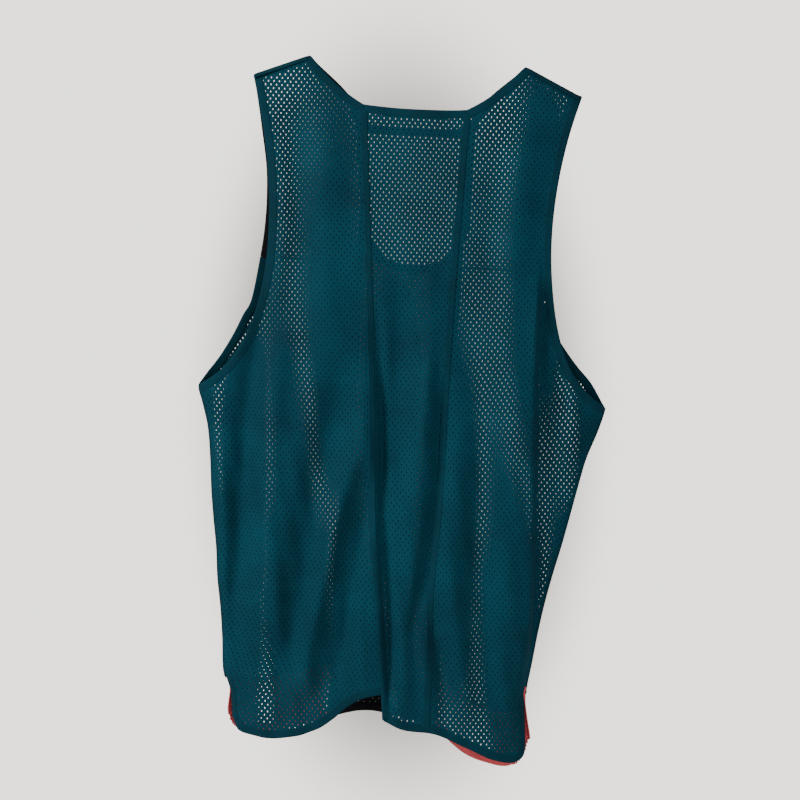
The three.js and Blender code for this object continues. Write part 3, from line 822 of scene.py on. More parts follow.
class OpenKnit:
    """Turns a draped sheet into an open mesh of staggered holes.

    A flat net of six-sided cells is laid over the sheet's UV map, whose unit is a metre of cloth,
    and each of its points is then carried to the same place on the draped sheet.
    """

    TREE = "open_knit"

    def __init__(self, pitch: float = 6.1, row: float = 3.7) -> None:
        """Sets the hole spacing across and up the cloth, in millimetres."""
        self.pitch, self.row = pitch, row
        self.tree = self._build()

    def _build(self) -> bpy.types.NodeTree:
        """Builds the node tree with its named inputs."""
        tree, given, out = new_tree(self.TREE, {name: "Float" for name in (
            "Width", "Height", "Pitch", "Row", "Hole", "Narrow", "Centre X", "Centre Z")})

        def calc(operation: str, first: object, second: object = 0.0) -> bpy.types.NodeSocket:
            """One sum of two values or sockets.

            Args:
                operation: of the Math node.
                first, second: numbers or sockets.

            Returns:
                The result.
            """
            settings, links = {"operation": operation}, {}
            for index, value in ((0, first), (1, second)):
                if isinstance(value, bpy.types.NodeSocket):
                    links[index] = value
                else:
                    settings[index] = value
            return add_node(tree, "ShaderNodeMath", settings, links).outputs[0]

        pitch, row = given.outputs["Pitch"], given.outputs["Row"]
        # even counts both ways put a point of the lattice at the centre
        across, up = (
            calc("MULTIPLY", calc("ROUND", calc("DIVIDE", given.outputs[size], calc("MULTIPLY", step, 2.0))),
                 2.0) for size, step in (("Width", pitch), ("Height", row)))
        net = add_node(tree, "GeometryNodeMeshGrid", None, {
            "Size X": calc("MULTIPLY", across, pitch), "Size Y": calc("MULTIPLY", up, row),
            "Vertices X": calc("ADD", across, 1.0), "Vertices Y": calc("ADD", up, 1.0),
        })
        # every other row steps half a pitch sideways
        spot = add_node(tree, "GeometryNodeInputPosition")
        parts = add_node(tree, "ShaderNodeSeparateXYZ", None, {0: spot.outputs[0]})
        which = calc("ROUND", calc("DIVIDE", parts.outputs["Y"], row))
        odd = calc("MODULO", calc("ABSOLUTE", which), 2.0)
        shift = calc("MULTIPLY", odd, calc("MULTIPLY", pitch, 0.5))
        step = add_node(tree, "ShaderNodeCombineXYZ", None, {"X": shift})
        staggered = add_node(tree, "GeometryNodeSetPosition", None,
                             {"Geometry": net.outputs["Mesh"], "Offset": step.outputs[0]})
        cut = add_node(tree, "GeometryNodeTriangulate", None, {"Mesh": staggered.outputs[0]})
        cells = add_node(tree, "GeometryNodeDualMesh", None, {"Mesh": cut.outputs[0]})
        # each cell keeps a rim of yarn round its hole
        rims = add_node(tree, "GeometryNodeExtrudeMesh",
                        {"mode": "FACES", "Offset Scale": 0.0, "Individual": True},
                        {"Mesh": cells.outputs[0]})
        shrunk = add_node(tree, "GeometryNodeScaleElements", {"domain": "FACE"},
                          {"Geometry": rims.outputs["Mesh"], "Selection": rims.outputs["Top"],
                           "Scale": given.outputs["Hole"]})
        narrowed = add_node(tree, "GeometryNodeScaleElements",
                            {"domain": "FACE", "scale_mode": "SINGLE_AXIS", "Axis": (1.0, 0.0, 0.0)},
                            {"Geometry": shrunk.outputs[0], "Selection": rims.outputs["Top"],
                             "Scale": given.outputs["Narrow"]})
        opened = add_node(tree, "GeometryNodeDeleteGeometry", {"domain": "FACE", "mode": "ALL"},
                          {"Geometry": narrowed.outputs[0], "Selection": rims.outputs["Top"]})
        # carry the flat net to the draped sheet
        centre = add_node(tree, "ShaderNodeCombineXYZ", None,
                          {"X": given.outputs["Centre X"], "Y": given.outputs["Centre Z"]})
        flat = add_node(tree, "ShaderNodeVectorMath", {"operation": "ADD"},
                        {0: add_node(tree, "GeometryNodeInputPosition").outputs[0], 1: centre.outputs[0]})
        uv = add_node(tree, "GeometryNodeInputNamedAttribute", {"data_type": "FLOAT_VECTOR", "Name": "cloth"})
        source = add_node(tree, "GeometryNodeInputPosition")
        sampler = add_node(tree, "GeometryNodeSampleUVSurface", {"data_type": "FLOAT_VECTOR"},
                           {"Mesh": given.outputs["Geometry"], "Value": source.outputs[0],
                            "UV Map": uv.outputs["Attribute"], "Sample UV": flat.outputs[0]})
        keep = add_node(tree, "GeometryNodeDeleteGeometry", {"domain": "POINT", "mode": "ALL"},
                        {"Geometry": opened.outputs[0],
                         "Selection": add_node(tree, "FunctionNodeBooleanMath", {"operation": "NOT"},
                                               {0: sampler.outputs["Is Valid"]}).outputs[0]})
        laid = add_node(tree, "GeometryNodeSetPosition", None,
                        {"Geometry": keep.outputs[0], "Position": sampler.outputs["Value"]})
        return finished(tree, laid, given, out)

    def knit(self, sheet: bpy.types.Object, name: str, finish: KnitFinish, cloth: float,
             hole: Tuple[float, float]) -> bpy.types.Object:
        """Knits a draped sheet into a net with a real thickness.

        Args:
            sheet: the draped sheet, with the attribute cloth; it is used up.
            name: the new piece's name.
            finish: what it is made of.
            cloth: thickness in millimetres.
            hole: its height as a share of its cell's, and how much narrower it is than the cell's own shape.

        Returns:
            The net as a plain mesh.
        """
        layer = np.zeros(len(sheet.data.vertices) * 3)
        sheet.data.attributes["cloth"].data.foreach_get("vector", layer)
        layer = layer.reshape(-1, 3)
        low, high = layer.min(axis=0), layer.max(axis=0)
        centre = (low + high) / 2
        # all panels share one lattice, so the centre is moved to a whole cell of it
        cell = np.array([self.pitch, 2 * self.row]) * MM
        centre[:2] = np.round(centre[:2] / cell) * cell
        size = high - low + 0.03
        values = {
            "Width": size[0], "Height": size[1],
            "Pitch": self.pitch * MM, "Row": self.row * MM, "Hole": hole[0], "Narrow": hole[1],
            "Centre X": centre[0], "Centre Z": centre[1], "Finish": finish.material(),
        }
        modifier = sheet.modifiers.new("knit", "NODES")
        modifier.node_group = self.tree
        wall = sheet.modifiers.new("wall", "SOLIDIFY")
        wall.thickness = cloth * MM
        wall.offset = 0.0
        wall.use_even_offset = False
        return converted(sheet, modifier, values, name, finish)


class Stitching:
    """Lays single stitches along lines, by Geometry Nodes."""

    TREE = "lockstitch"

    def __init__(self, spacing: float = 3.1) -> None:
        """Sets the distance from stitch to stitch in millimetres."""
        self.spacing = spacing
        self.lines: Dict[KnitFinish, List[np.ndarray]] = {}
        self.tree = self._build()

    def _build(self) -> bpy.types.NodeTree:
        """Builds the node tree with its named inputs."""
        tree, given, out = new_tree(self.TREE, {"Spacing": "Float", "Size": "Vector"})
        curve = add_node(tree, "GeometryNodeMeshToCurve", None, {"Mesh": given.outputs["Geometry"]})
        spread = add_node(tree, "GeometryNodeResampleCurve", {"mode": "LENGTH"},
                          {"Curve": curve.outputs[0], "Length": given.outputs["Spacing"]})
        tangent = add_node(tree, "GeometryNodeInputTangent")
        turn = add_node(tree, "FunctionNodeAlignRotationToVector", {"axis": "X"},
                        {"Vector": tangent.outputs[0]})
        bead = add_node(tree, "GeometryNodeMeshUVSphere", {"Segments": 6, "Rings": 4, "Radius": 1.0})
        laid = add_node(tree, "GeometryNodeInstanceOnPoints", None,
                        {"Points": spread.outputs[0], "Instance": bead.outputs["Mesh"],
                         "Rotation": turn.outputs[0], "Scale": given.outputs["Size"]})
        return finished(tree, laid, given, out)

    def add(self, finish: KnitFinish, line: np.ndarray) -> None:
        """Notes a line of garment points to be sewn with one colour."""
        self.lines.setdefault(finish, []).append(line)

    def sew(self, cloth: str) -> None:
        """Sews every noted line, one piece for each colour of thread.

        Args:
            cloth: which cloth, for the names.
        """
        for finish, lines in self.lines.items():
            name = f"stitches_{cloth}_{finish.name.split('_')[0]}"
            points, edges = [], []
            for line in lines:
                start = len(points)
                points.extend(to_frame(line).tolist())
                edges.extend((start + i, start + i + 1) for i in range(len(line) - 1))
            mesh = bpy.data.meshes.new(name)
            mesh.from_pydata(points, edges, [])
            guide = bpy.data.objects.new(name + "_guide", mesh)
            bpy.context.scene.collection.objects.link(guide)
            modifier = guide.modifiers.new("sew", "NODES")
            modifier.node_group = self.tree
            values = {"Spacing": self.spacing * MM, "Size": (1.15 * MM, 0.3 * MM, 0.24 * MM),
                      "Finish": finish.material()}
            made = converted(guide, modifier, values, name, finish)
            made.data.polygons.foreach_set("use_smooth", [True] * len(made.data.polygons))
            declare(made, "thread")


def converted(source: bpy.types.Object, modifier: bpy.types.Modifier, values: Dict[str, object], name: str,
              finish: KnitFinish) -> bpy.types.Object:
    """Sets a node modifier's inputs and turns its result into a plain mesh.

    Args:
        source: the object that carries the modifier; it is used up.
        modifier: the Geometry Nodes modifier.
        values: its inputs by name.
        name: the new piece's name.
        finish: what it is made of.

    Returns:
        The plain mesh object.
    """
    for item in modifier.node_group.interface.items_tree:
        if item.item_type == "SOCKET" and item.in_out == "INPUT" and item.name in values:
            modifier[item.identifier] = values[item.name]
    graph = bpy.context.evaluated_depsgraph_get()
    mesh = bpy.data.meshes.new_from_object(source.evaluated_get(graph))
    mesh.name = name
    mesh.materials.clear()
    mesh.materials.append(finish.material())
    made = bpy.data.objects.new(name, mesh)
    bpy.context.scene.collection.objects.link(made)
    bpy.data.objects.remove(source)
    return made


# ---------------------------------------------------------------- sub-assemblies


@dataclass
class Cloth:
    """One cloth of the vest: its knitted panels and the folded bands round them."""

    STEP_ACROSS: ClassVar[float] = 2.5
    STEP_UP: ClassVar[float] = 4.0
    BAND_STEP: ClassVar[float] = 3.0
    STITCH_PROUD: ClassVar[float] = 0.05
    side: Side
    drape: Drape
    knit: OpenKnit
    stitching: Stitching
    thickness: float = 0.7
    band: float = 1.5
    hole: Tuple[float, float] = (0.42, 0.36)

    def seams(self, hand: int) -> Laps:
        """Where a side panel's upright edges run on under the seams.

        Args:
            hand: -1 for the wearer's left, 1 for the right.

        Returns:
            The laps.
        """
        p = self.drape.pattern
        inner, outer = ("left", "right") if hand > 0 else ("right", "left")
        return {outer: (-p.armpit_drop + 3, -p.slit_drop + 5), inner: (-p.back_neck_drop, -p.hem_drop)}

    def sheet_over(self, name: str, edges: Edges, rows: int, columns: int,
                   finish: KnitFinish, laps: Laps) -> bpy.types.Object:
        """Drapes a four-sided stretch of the pattern.

        Args:
            name: of the sheet.
            edges: top and bottom from left to right, then left and right from top to bottom.
            rows, columns: how finely it is divided.
            finish: what it is made of.
            laps: the edges where it runs on under a seam, each with the heights between which it does.

        Returns:
            The draped sheet with its flat place in the attribute cloth.
        """
        t, b = (resampled(edge, columns) for edge in edges[:2])
        l, r = (resampled(edge, rows) for edge in edges[2:])
        u = np.linspace(0, 1, columns)[None, :, None]
        v = np.linspace(0, 1, rows)[:, None, None]
        flat = (1 - v) * t[None] + v * b[None] + (1 - u) * l[:, None] + u * r[:, None]
        flat -= (1 - v) * ((1 - u) * t[0] + u * t[-1]) + v * ((1 - u) * b[0] + u * b[-1])
        for edge, axis, at, inner in (("left", 1, 0, 1), ("right", 1, -1, -2),
                                      ("top", 0, 0, 1), ("bottom", 0, -1, -2)):
            if edge not in laps:
                continue
            line, next_line = flat.take([at], axis), flat.take([inner], axis)
            out = line - next_line
            out /= np.maximum(np.linalg.norm(out, axis=2, keepdims=True), 1e-9)
            high, low = laps[edge]
            out = out * np.clip(np.minimum(high - line[..., 1:], line[..., 1:] - low) / 6, 0, 1)
            grown = line + out * self.drape.pattern.seam_under
            flat = np.concatenate([grown, flat] if at == 0 else [flat, grown], axis=axis)
        rows, columns = flat.shape[:2]
        x, z = flat[..., 0], flat[..., 1]
        made = mesh_object(name, to_frame(self.drape.surface(x, z, self.side)).reshape(-1, 3),
                           grid_faces(rows, columns, flip=self.side is Side.BACK), finish)
        cloth = self.drape.stretched(x, z, self.side)
        layer = made.data.attributes.new("cloth", "FLOAT_VECTOR", "POINT")
        layer.data.foreach_set("vector", cloth.reshape(-1))
        return made

    def panel(self, name: str, finish: KnitFinish, edges: Edges, bands: Sequence[bpy.types.Object],
              laps: Laps, close: float = 1.0) -> None:
        """Drapes, knits and declares one panel.

        Args:
            name: that of the CAD node that it stands for.
            finish: what it is made of.
            edges: top, bottom, left and right.
            bands: pieces sewn to it; not used.
            laps: the edges where it runs on under a seam, each with the heights between which it does.
            close: how much smaller its holes are than usual.
        """
        columns = int(max(map(line_length, edges[:2])) / self.STEP_ACROSS) + 2
        rows = int(max(map(line_length, edges[2:])) / self.STEP_UP) + 2
        sheet = self.sheet_over("draped_" + name, edges, rows, columns, finish, laps)
        flat = np.zeros(len(sheet.data.vertices) * 3)
        sheet.data.attributes["cloth"].data.foreach_get("vector", flat)
        made = self.knit.knit(sheet, "knitted_" + name, finish, self.thickness,
                              (self.hole[0] * close, self.hole[1]))
        declare(made, finish.slot, name)

    def edge_band(self, name: str, finish: KnitFinish, line: Line, inside: Tuple[float, float],
                  near: float, far: float, raised: float = 0.0, in_cad: bool = True) -> bpy.types.Object:
        """Folds a band along a line on the pattern.

        Args:
            name: that of the CAD node that it stands for.
            finish: what it is made of.
            line: its line on the pattern.
            inside: a place on the pattern that tells which side of the line the band lies on.
            near, far: how far its edges lie to that side of the line.
            raised: how far it stands out from the cloth.
            in_cad: whether there is a CAD node of that name.

        Returns:
            The band.
        """
        line = resampled(line, max(int(line_length(line) / self.BAND_STEP), 3))
        side = inward(line)
        towards = np.array(inside) - line
        if (side * towards).sum() < 0:
            side = -side
        offsets = np.linspace(near, far, 9)
        flat = line[:, None, :] + side[:, None, :] * offsets[None, :, None]
        middle = self.drape.surface(flat[..., 0], flat[..., 1], self.side)
        middle[..., 1] += raised * self.side.value
        made = band_from_grid("sewn_" + name, middle, self.band, finish)
        declare(made, finish.slot, *([name] if in_cad else []))
        # a tape is sewn along both its edges, a hem along its inner one
        for column in ((1, 7) if near < -2 else (7,)):
            row = middle[1:-1, column].copy()
            row[:, 1] += self.side.value * (self.band / 2 + self.STITCH_PROUD)
            self.stitching.add(THREADS[finish], row)
        return made


def declare(made: bpy.types.Object, slot: str, *nodes: str) -> None:
    """Makes a piece ride the vest, stand for its CAD nodes and log its slot.

    Args:
        made: the piece.
        slot: its material slot.
        nodes: the CAD nodes that it stands for.
    """
    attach(made, "root")
    if nodes:
        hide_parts(*nodes)
    log.info("%s: %d faces, %s", made.name, len(made.data.polygons), slot)


def between(line: Line, low: float, high: float) -> Line:
    """The part of a left-to-right line between two places across.

    Args:
        line: the whole line.
        low, high: where the part begins and ends.

    Returns:
        The part.
    """
    inside = line[(line[:, 0] > low + 0.05) & (line[:, 0] < high - 0.05)]
    ends = [[x, float(np.interp(x, line[:, 0], line[:, 1]))] for x in (low, high)]
    return np.concatenate([[ends[0]], inside, [ends[1]]])


def descending(line: Line, top: float, bottom: float) -> Line:
    """The part of a falling line between two heights.

    Args:
        line: the whole line.
        top, bottom: where the part begins and ends.

    Returns:
        The part.
    """
    inside = line[(line[:, 1] < top - 0.05) & (line[:, 1] > bottom + 0.05)]
    ends = [[float(np.interp(-z, -line[:, 1], line[:, 0])), z] for z in (top, bottom)]
    return np.concatenate([[ends[0]], inside, [ends[1]]])


@dataclass
class BackCloth(Cloth):
    """The teal back: a centre panel between two slanting seams, and a side panel each side."""

    def outer(self, hand: int) -> Line:
        """The armhole and open side of one side panel, from the shoulder tip down to the hem.

        Args:
            hand: -1 for the wearer's left, 1 for the right.

        Returns:
            The outline.
        """
        p, drape = self.drape.pattern, self.drape
        hem_end = p.back_hem(hand)[0 if hand < 0 else -1]
        z = np.linspace(-p.armpit_drop, hem_end[1], 90)[1:]
        side = np.stack([drape.half(hand, z, self.side), z], axis=1)
        side[-1] = np.abs(hem_end) * np.array([1, -1])
        return np.concatenate([p.armhole(self.side, hand), side * np.array([hand, 1])])

    def inner(self, hand: int, foot: float) -> Line:
        """The slanting neck edge and seam of one side panel, from the neck point down.

        Args:
            hand: -1 for the wearer's left, 1 for the right.
            foot: the height where it ends.

        Returns:
            The outline.
        """
        p = self.drape.pattern
        neck = p.slanting_neck() * np.array([hand, 1])
        return np.concatenate([neck, descending(p.back_seam(hand), -p.back_neck_drop, foot)[1:]])

    def build(self) -> None:
        """Makes every panel and band of the back."""
        p = self.drape.pattern
        left_hem, right_hem = p.back_hem(-1), p.back_hem(1)
        hem_ends = {-1: (-157.0, 2.6), 1: (46.0, 155.0)}
        seam_feet = {-1: -671.6, 1: -710.6}
        bands: Dict[str, List[bpy.types.Object]] = {"centre": [], "left": [], "right": []}

        def sew_on(panel: str, name: str, *shape: object, raised: float = 0.0) -> None:
            """Folds a band along a line and counts it to a panel.

            Args:
                panel: centre, left or right.
                name: the CAD node's.
                shape: the line, a place inside it and the band's two edges.
                raised: how far it stands out.
            """
            bands[panel].append(self.edge_band(name, TEAL_BAND, *shape, raised=raised))

        edge = (-0.8, p.hem_width - 0.8)
        hem_edge = (-0.6, p.hem_width - 0.6)
        sew_on("centre", "back_neck_hem", p.back_neck(), (0, -200), *edge)
        sew_on("centre", "back_neck_inner_tape", p.back_neck(), (0, -200), 19, 28, raised=-1.7)
        for name, hand in (("left", -1), ("right", 1)):
            sew_on(name, f"back_neck_slant_{name}", p.slanting_neck() * np.array([hand, 1]),
                   (hand * 130.0, -200.0), *edge)
            sew_on(name, f"back_armhole_hem_{name}", p.armhole(self.side, hand), (hand * 60.0, -300.0), *edge)
            foot = -699.5 if hand < 0 else -709.5
            sew_on(name, f"back_seam_tape_{name}", descending(p.back_seam(hand), -53, foot),
                   (hand * 130.0, -400.0), -3.6, 3.6, raised=0.35)
            side = self.outer(hand)
            sew_on(name, f"back_slit_facing_{name}", side[side[:, 1] < -p.slit_drop], (0, -690), -0.6, 6.4)
        sew_on("left", "back_hem_left", between(left_hem, -157, 5.5), (-70, -500), *hem_edge)
        sew_on("centre", "back_hem_centre", between(right_hem, 1.5, 47), (20, -500), *hem_edge)
        sew_on("right", "back_hem_right", between(right_hem, 45, 155), (90, -500), *hem_edge)

        self.panel("back_centre_panel", TEAL, (
            p.back_neck(), between(right_hem, 2.0, 46.0),
            *(descending(p.back_seam(hand), -p.back_neck_drop, foot)
              for hand, foot in ((-1, -700.2), (1, -710.2))),
        ), bands["centre"], {edge: (-p.back_neck_drop, -p.hem_drop) for edge in ("left", "right")})
        for name, hand, hem in (("left", -1, left_hem), ("right", 1, right_hem)):
            bottom = between(hem, *hem_ends[hand])
            top = np.array([[hand * p.neck_half, 0], p.armhole(self.side, hand)[0]])
            inner, outer = self.inner(hand, seam_feet[hand]), self.outer(hand)
            edges = (top, bottom, inner, outer) if hand > 0 else (top[::-1], bottom, outer, inner)
            self.panel(f"back_side_panel_{name}", TEAL, edges, bands[name], self.seams(hand))
        self.stitching.sew("back")


@dataclass
class FrontCloth(Cloth):
    """The front: a black centre and yokes, teal sides, and a coral panel above the hem each side."""

    def outer(self, hand: int, top: float, foot: float) -> Line:
        """The armhole and side of the front between two heights.

        Args:
            hand: -1 for the wearer's left, 1 for the right.
            top, foot: the heights.

        Returns:
            The outline.
        """
        p = self.drape.pattern
        z = np.linspace(-p.armpit_drop, p.front_hem()[0 if hand < 0 else -1][1], 90)[1:]
        side = np.stack([hand * self.drape.half(hand, z, self.side), z], axis=1)
        return descending(np.concatenate([p.armhole(self.side, hand), side]), top, foot)

    def build(self) -> None:
        """Makes every panel and band of the front."""
        p = self.drape.pattern
        hem, seam, yoke = p.front_hem(), p.front_seam_half, -p.yoke_drop
        raised_hem = hem + np.array([0, p.hem_panel_height])
        neck = p.front_neck()
        scoop = neck[neck[:, 1] < -150]
        edge = (-0.8, p.hem_width - 0.8)
        hem_edge = (-0.6, p.hem_width - 0.6)
        join = ((0, -800), -1.8, 1.8)
        centre_bands = [
            self.edge_band("front_neck_hem", BLACK_BAND, neck, (0, -400), *edge),
            self.edge_band("front_hem_centre", BLACK_BAND, between(hem, -seam, seam), (0, -400), *hem_edge),
        ]
        for name, hand in (("left", -1), ("right", 1)):
            end = 0 if hand < 0 else -1  # of a line from left to right, the one on this side

            def across(line: Line) -> Line:
                """The part of a hem line on this side of the seam."""
                return between(line, *sorted((hand * seam, line[end, 0])))

            foot = float(np.interp(hand * seam, hem[:, 0], hem[:, 1]))
            straight = np.array([scoop[end], [hand * seam, yoke], [hand * seam, foot + 1]])
            tape = self.edge_band(f"front_seam_tape_{name}", BLACK_BAND, straight,
                                  (hand * 130.0, -400.0), -4.0, 4.0, raised=0.35)
            arm, chest = p.armhole(self.side, hand), (hand * 60.0, -300.0)
            upper = self.edge_band(f"front_yoke_armhole_hem_{name}", BLACK_BAND,
                                   descending(arm, arm[0, 1], yoke + 0.5), chest, *edge)
            lower = self.edge_band(f"front_armhole_hem_{name}", TEAL_BAND,
                                   descending(arm, yoke, arm[-1, 1]), chest, *edge)
            hem_band = self.edge_band(f"front_hem_{name}", RED_BAND, across(hem), (hand * 90.0, -500.0),
                                      *hem_edge)
            hem_end = hem[end]
            side = self.outer(hand, -p.slit_drop, hem_end[1])
            facing = self.edge_band(f"front_slit_facing_{name}", RED_BAND, side, (0, -690), -0.6, 6.4)

            def four(top: Line, bottom: Line, inner: Line, outer: Line) -> Edges:
                """A panel's edges, turned to run from left to right."""
                return (top, bottom, inner, outer) if hand > 0 else (top, bottom, outer, inner)

            at_yoke = self.outer(hand, yoke, yoke - 1)[0]
            level = np.array([[hand * seam, yoke], at_yoke])
            level = level if hand > 0 else level[::-1]
            anywhere = (0.0, -800.0)
            yoke_join = self.edge_band(f"yoke_join_{name}", BLACK_BAND, level, *join, in_cad=False)
            shoulder = np.array([[hand * p.neck_half, 0], arm[0]])
            high = neck[(neck[:, 0] * hand > 0) & (neck[:, 1] > -150)][::-hand]
            inner = np.concatenate([high, [[hand * seam, yoke]]])
            self.panel(f"front_yoke_{name}", BLACK,
                       four(shoulder if hand > 0 else shoulder[::-1], level, inner,
                            descending(arm, arm[0, 1], yoke)), [upper, yoke_join], {"bottom": anywhere})
            red_top, red_foot = across(raised_hem), across(hem)
            out_top = red_top[end][1]
            corner = self.outer(hand, out_top, out_top - 1)[0]
            red_top[end] = corner
            red_foot[end] = hem_end
            in_top, in_foot = red_top[-1 - end], red_foot[-1 - end]
            self.panel(f"front_side_panel_{name}", TEAL,
                       four(level, red_top, np.array([[hand * seam, yoke], in_top]),
                            self.outer(hand, yoke, out_top)), [lower],
                       {"top": anywhere, "bottom": anywhere, **self.seams(hand)})
            red_join = self.edge_band(f"hem_panel_join_{name}", RED_BAND, red_top, *join, in_cad=False)
            self.panel(f"front_hem_panel_{name}", RED,
                       four(red_top, red_foot, np.array([in_top, in_foot]),
                            self.outer(hand, out_top, hem_end[1])), [hem_band, facing, red_join],
                       {"top": anywhere, **self.seams(hand)})
            centre_bands.append(tape)
        ends = [float(np.interp(x, hem[:, 0], hem[:, 1])) for x in (-seam, seam)]
        self.panel("front_centre_panel", BLACK, (
            scoop, between(hem, -seam, seam),
            np.array([scoop[0], [-seam, yoke], [-seam, ends[0]]]),
            np.array([scoop[-1], [seam, yoke], [seam, ends[1]]]),
        ), centre_bands, {"left": (-150, -p.hem_drop), "right": (-150, -p.hem_drop)}, close=0.3)
        self.stitching.sew("front")


@dataclass
class Joins:
    """What holds the two cloths together: shoulder seams, side seams and their bar tacks."""

    drape: Drape
    seam_width: float = 5.0
    thickness: float = 1.5

    def shoulder(self, name: str, hand: int) -> bpy.types.Object:
        """A seam that rolls over the shoulder from the back to the front.

        Args:
            name: left or right.
            hand: -1 for the wearer's left, 1 for the right.

        Returns:
            The seam.
        """
        p = self.drape.pattern
        turn = math.acos(1 - self.seam_width / Drape.SHOULDER_ROLL)
        x = hand * np.linspace(p.neck_half + 0.8, p.shoulder_half - 0.3, 24)[:, None]
        angle = np.linspace(-turn, turn, 17)[None, :]
        x, angle = np.broadcast_arrays(x, angle)
        z = p.shoulder_height(x) - Drape.SHOULDER_ROLL * (1 - np.cos(angle))
        y = p.body_depth(z) * np.sin(angle)
        z = z + 4.2 * np.clip((z + 50) / 50, 0, 1) + 2.4 * np.clip(-z / 50, 0, 1)
        made = band_from_grid(f"sewn_shoulder_seam_{name}", np.stack([x, y, z], axis=-1),
                              self.thickness, TEAL_BAND)
        declare(made, "teal_band", f"shoulder_seam_{name}")
        return made

    def side(self, name: str, hand: int) -> bpy.types.Object:
        """A seam that joins the two cloths down one side, from the armpit to the slit.

        Args:
            name: left or right.
            hand: -1 for the wearer's left, 1 for the right.

        Returns:
            The seam.
        """
        p = self.drape.pattern
        z = np.linspace(-p.armpit_drop - 1, -p.slit_drop, 100)[:, None]
        angle = np.linspace(-0.17, 0.17, 13)[None, :]
        z, angle = np.broadcast_arrays(z, angle)
        half = p.body_half(hand, z)
        middle = np.stack([hand * half * np.cos(angle), p.body_depth(z) * np.sin(angle), z], axis=-1)
        made = band_from_grid(f"sewn_side_seam_{name}", middle, self.thickness, TEAL_BAND)
        declare(made, "teal_band", f"side_seam_{name}")
        return made

    def tack(self, name: str, hand: int) -> bpy.types.Object:
        """The bar tack that keeps a slit from tearing: a close zigzag of thread.

        Args:
            name: left or right.
            hand: -1 for the wearer's left, 1 for the right.

        Returns:
            The tack.
        """
        p = self.drape.pattern
        rows, strands = 6, 8
        points, faces = [], []
        for i in range(rows):
            z = -p.slit_drop + 1.4 - i * 0.55
            half = float(p.body_half(hand, z)) + 1.1
            for j in range(13):
                angle = -0.13 + 0.26 * j / 12
                for k in range(strands):
                    turn = 2 * math.pi * k / strands
                    out = 0.28 * math.cos(turn) * (1 if 0 < j < 12 else 0.4)
                    points.append([hand * (half + out) * math.cos(angle), 33.0 * math.sin(angle),
                                   z + 0.28 * math.sin(turn)])
            start = i * 13 * strands
            for j in range(12):
                for k in range(strands):
                    a, b = start + j * strands + k, start + j * strands + (k + 1) % strands
                    faces.append((a, b, b + strands, a + strands))
            faces.append(tuple(range(start, start + strands)))
            faces.append(tuple(range(start + 12 * strands, start + 13 * strands)))
        made = mesh_object(f"sewn_bar_tack_{name}", to_frame(np.array(points)), faces, TEAL_THREAD)
        facing_out(made)
        declare(made, "thread", f"bar_tack_{name}")
        return made

    def build(self) -> None:
        """Makes every join."""
        for name, hand in (("left", -1), ("right", 1)):
            self.shoulder(name, hand)
            self.side(name, hand)
            self.tack(name, hand)


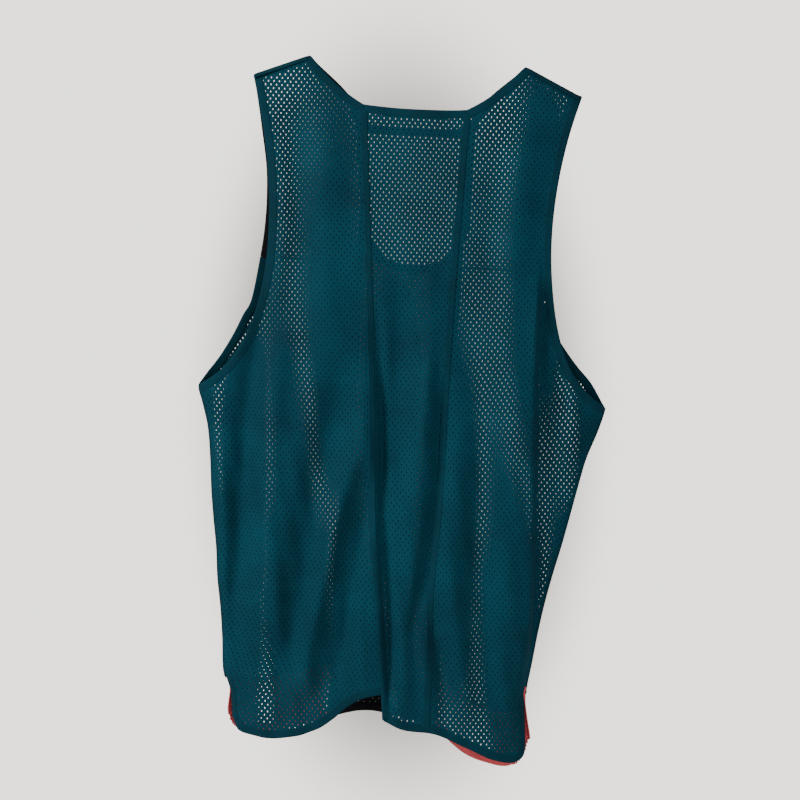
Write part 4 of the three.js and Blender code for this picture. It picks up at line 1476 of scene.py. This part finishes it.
class Studio:
    """A pale room with a soft window to the left, a floor and the camera."""

    def build(self) -> None:
        """Makes the light, the floor and the camera."""
        world = bpy.data.worlds.new("studio")
        bpy.context.scene.world = world
        world.use_nodes = True
        tree = world.node_tree
        tree.nodes.clear()
        path = add_node(tree, "ShaderNodeLightPath")
        # what lies close behind the vest is in its soft shadow
        gaze = add_node(tree, "ShaderNodeTexCoord")
        mapped = add_node(tree, "ShaderNodeMapping",
                          {"Location": (0.0, 0.0, 0.05), "Scale": (1 / 0.094, 0.0, 1 / 0.182)},
                          {"Vector": gaze.outputs["Generated"]})
        spread = add_node(tree, "ShaderNodeVectorMath", {"operation": "LENGTH"}, {0: mapped.outputs[0]})
        shade = add_node(tree, "ShaderNodeMapRange",
                         {"interpolation_type": "SMOOTHSTEP", "From Min": 0.75, "From Max": 1.3,
                          "To Min": 0.55, "To Max": 2.3}, {"Value": spread.outputs["Value"]})
        seen = add_node(tree, "ShaderNodeBackground", {"Color": (1.0, 0.975, 0.905, 1.0)},
                        {"Strength": shade.outputs["Result"]})
        fill = add_node(tree, "ShaderNodeBackground", {"Color": (0.92, 0.96, 1.0, 1.0), "Strength": 0.32})
        mix = add_node(tree, "ShaderNodeMixShader", None,
                       {0: path.outputs["Is Camera Ray"], 1: fill.outputs[0], 2: seen.outputs[0]})
        out = add_node(tree, "ShaderNodeOutputWorld")
        tree.links.new(mix.outputs[0], out.inputs["Surface"])
        self.lamp("window", (-2.1, -1.3, 0.7), (-0.02, 0.0, -0.35), 1.0, 62.0, (1.0, 0.97, 0.92))
        self.lamp("low", (0.5, -1.5, -1.05), (0.03, 0.0, -0.7), 0.8, 7.0, (1.0, 0.98, 0.95))
        self.lamp("bounce", (1.2, -2.2, 0.3), (0.0, 0.0, -0.4), 1.6, 9.0, (0.95, 0.97, 1.0))
        floor = mesh_object("floor", np.array([[-1.2, -1.2, -1.15], [1.2, -1.2, -1.15], [1.2, 1.2, -1.15],
                                               [-1.2, 1.2, -1.15]]), [(0, 1, 2, 3)], FLOOR)
        camera = bpy.data.objects.new("camera", bpy.data.cameras.new("camera"))
        camera.data.sensor_width = 36.0
        camera.data.lens = 83.6
        camera.location = (-0.019, -2.0, -0.360)
        camera.rotation_euler = (math.pi / 2, 0.0, 0.0)
        bpy.context.scene.collection.objects.link(camera)
        bpy.context.scene.camera = camera

    @staticmethod
    def lamp(name: str, place: Tuple[float, float, float], target: Tuple[float, float, float], size: float,
             power: float, colour: Tuple[float, float, float]) -> None:
        """Hangs one soft square light that points at a target.

        Args:
            name: the light's.
            place, target: where it hangs and what it points at, in metres.
            size: its side in metres.
            power: in watts.
            colour: linear red, green and blue.
        """
        light = bpy.data.lights.new(name, "AREA")
        light.size, light.energy, light.color = size, power, colour
        made = bpy.data.objects.new(name, light)
        made.location = place
        made.rotation_euler = (Vector(target) - Vector(place)).to_track_quat("-Z", "Y").to_euler()
        bpy.context.scene.collection.objects.link(made)


def main() -> None:
    """Builds the whole vest and its studio."""
    logging.basicConfig(level=logging.INFO, format="%(name)s: %(message)s")
    drape = Drape(PATTERN)
    knit = OpenKnit()
    BackCloth(Side.BACK, drape, knit, Stitching()).build()
    FrontCloth(Side.FRONT, drape, knit, Stitching(), hole=(0.45, 0.40)).build()
    Joins(drape).build()
    Studio().build()


if __name__ == "__main__":
    main()
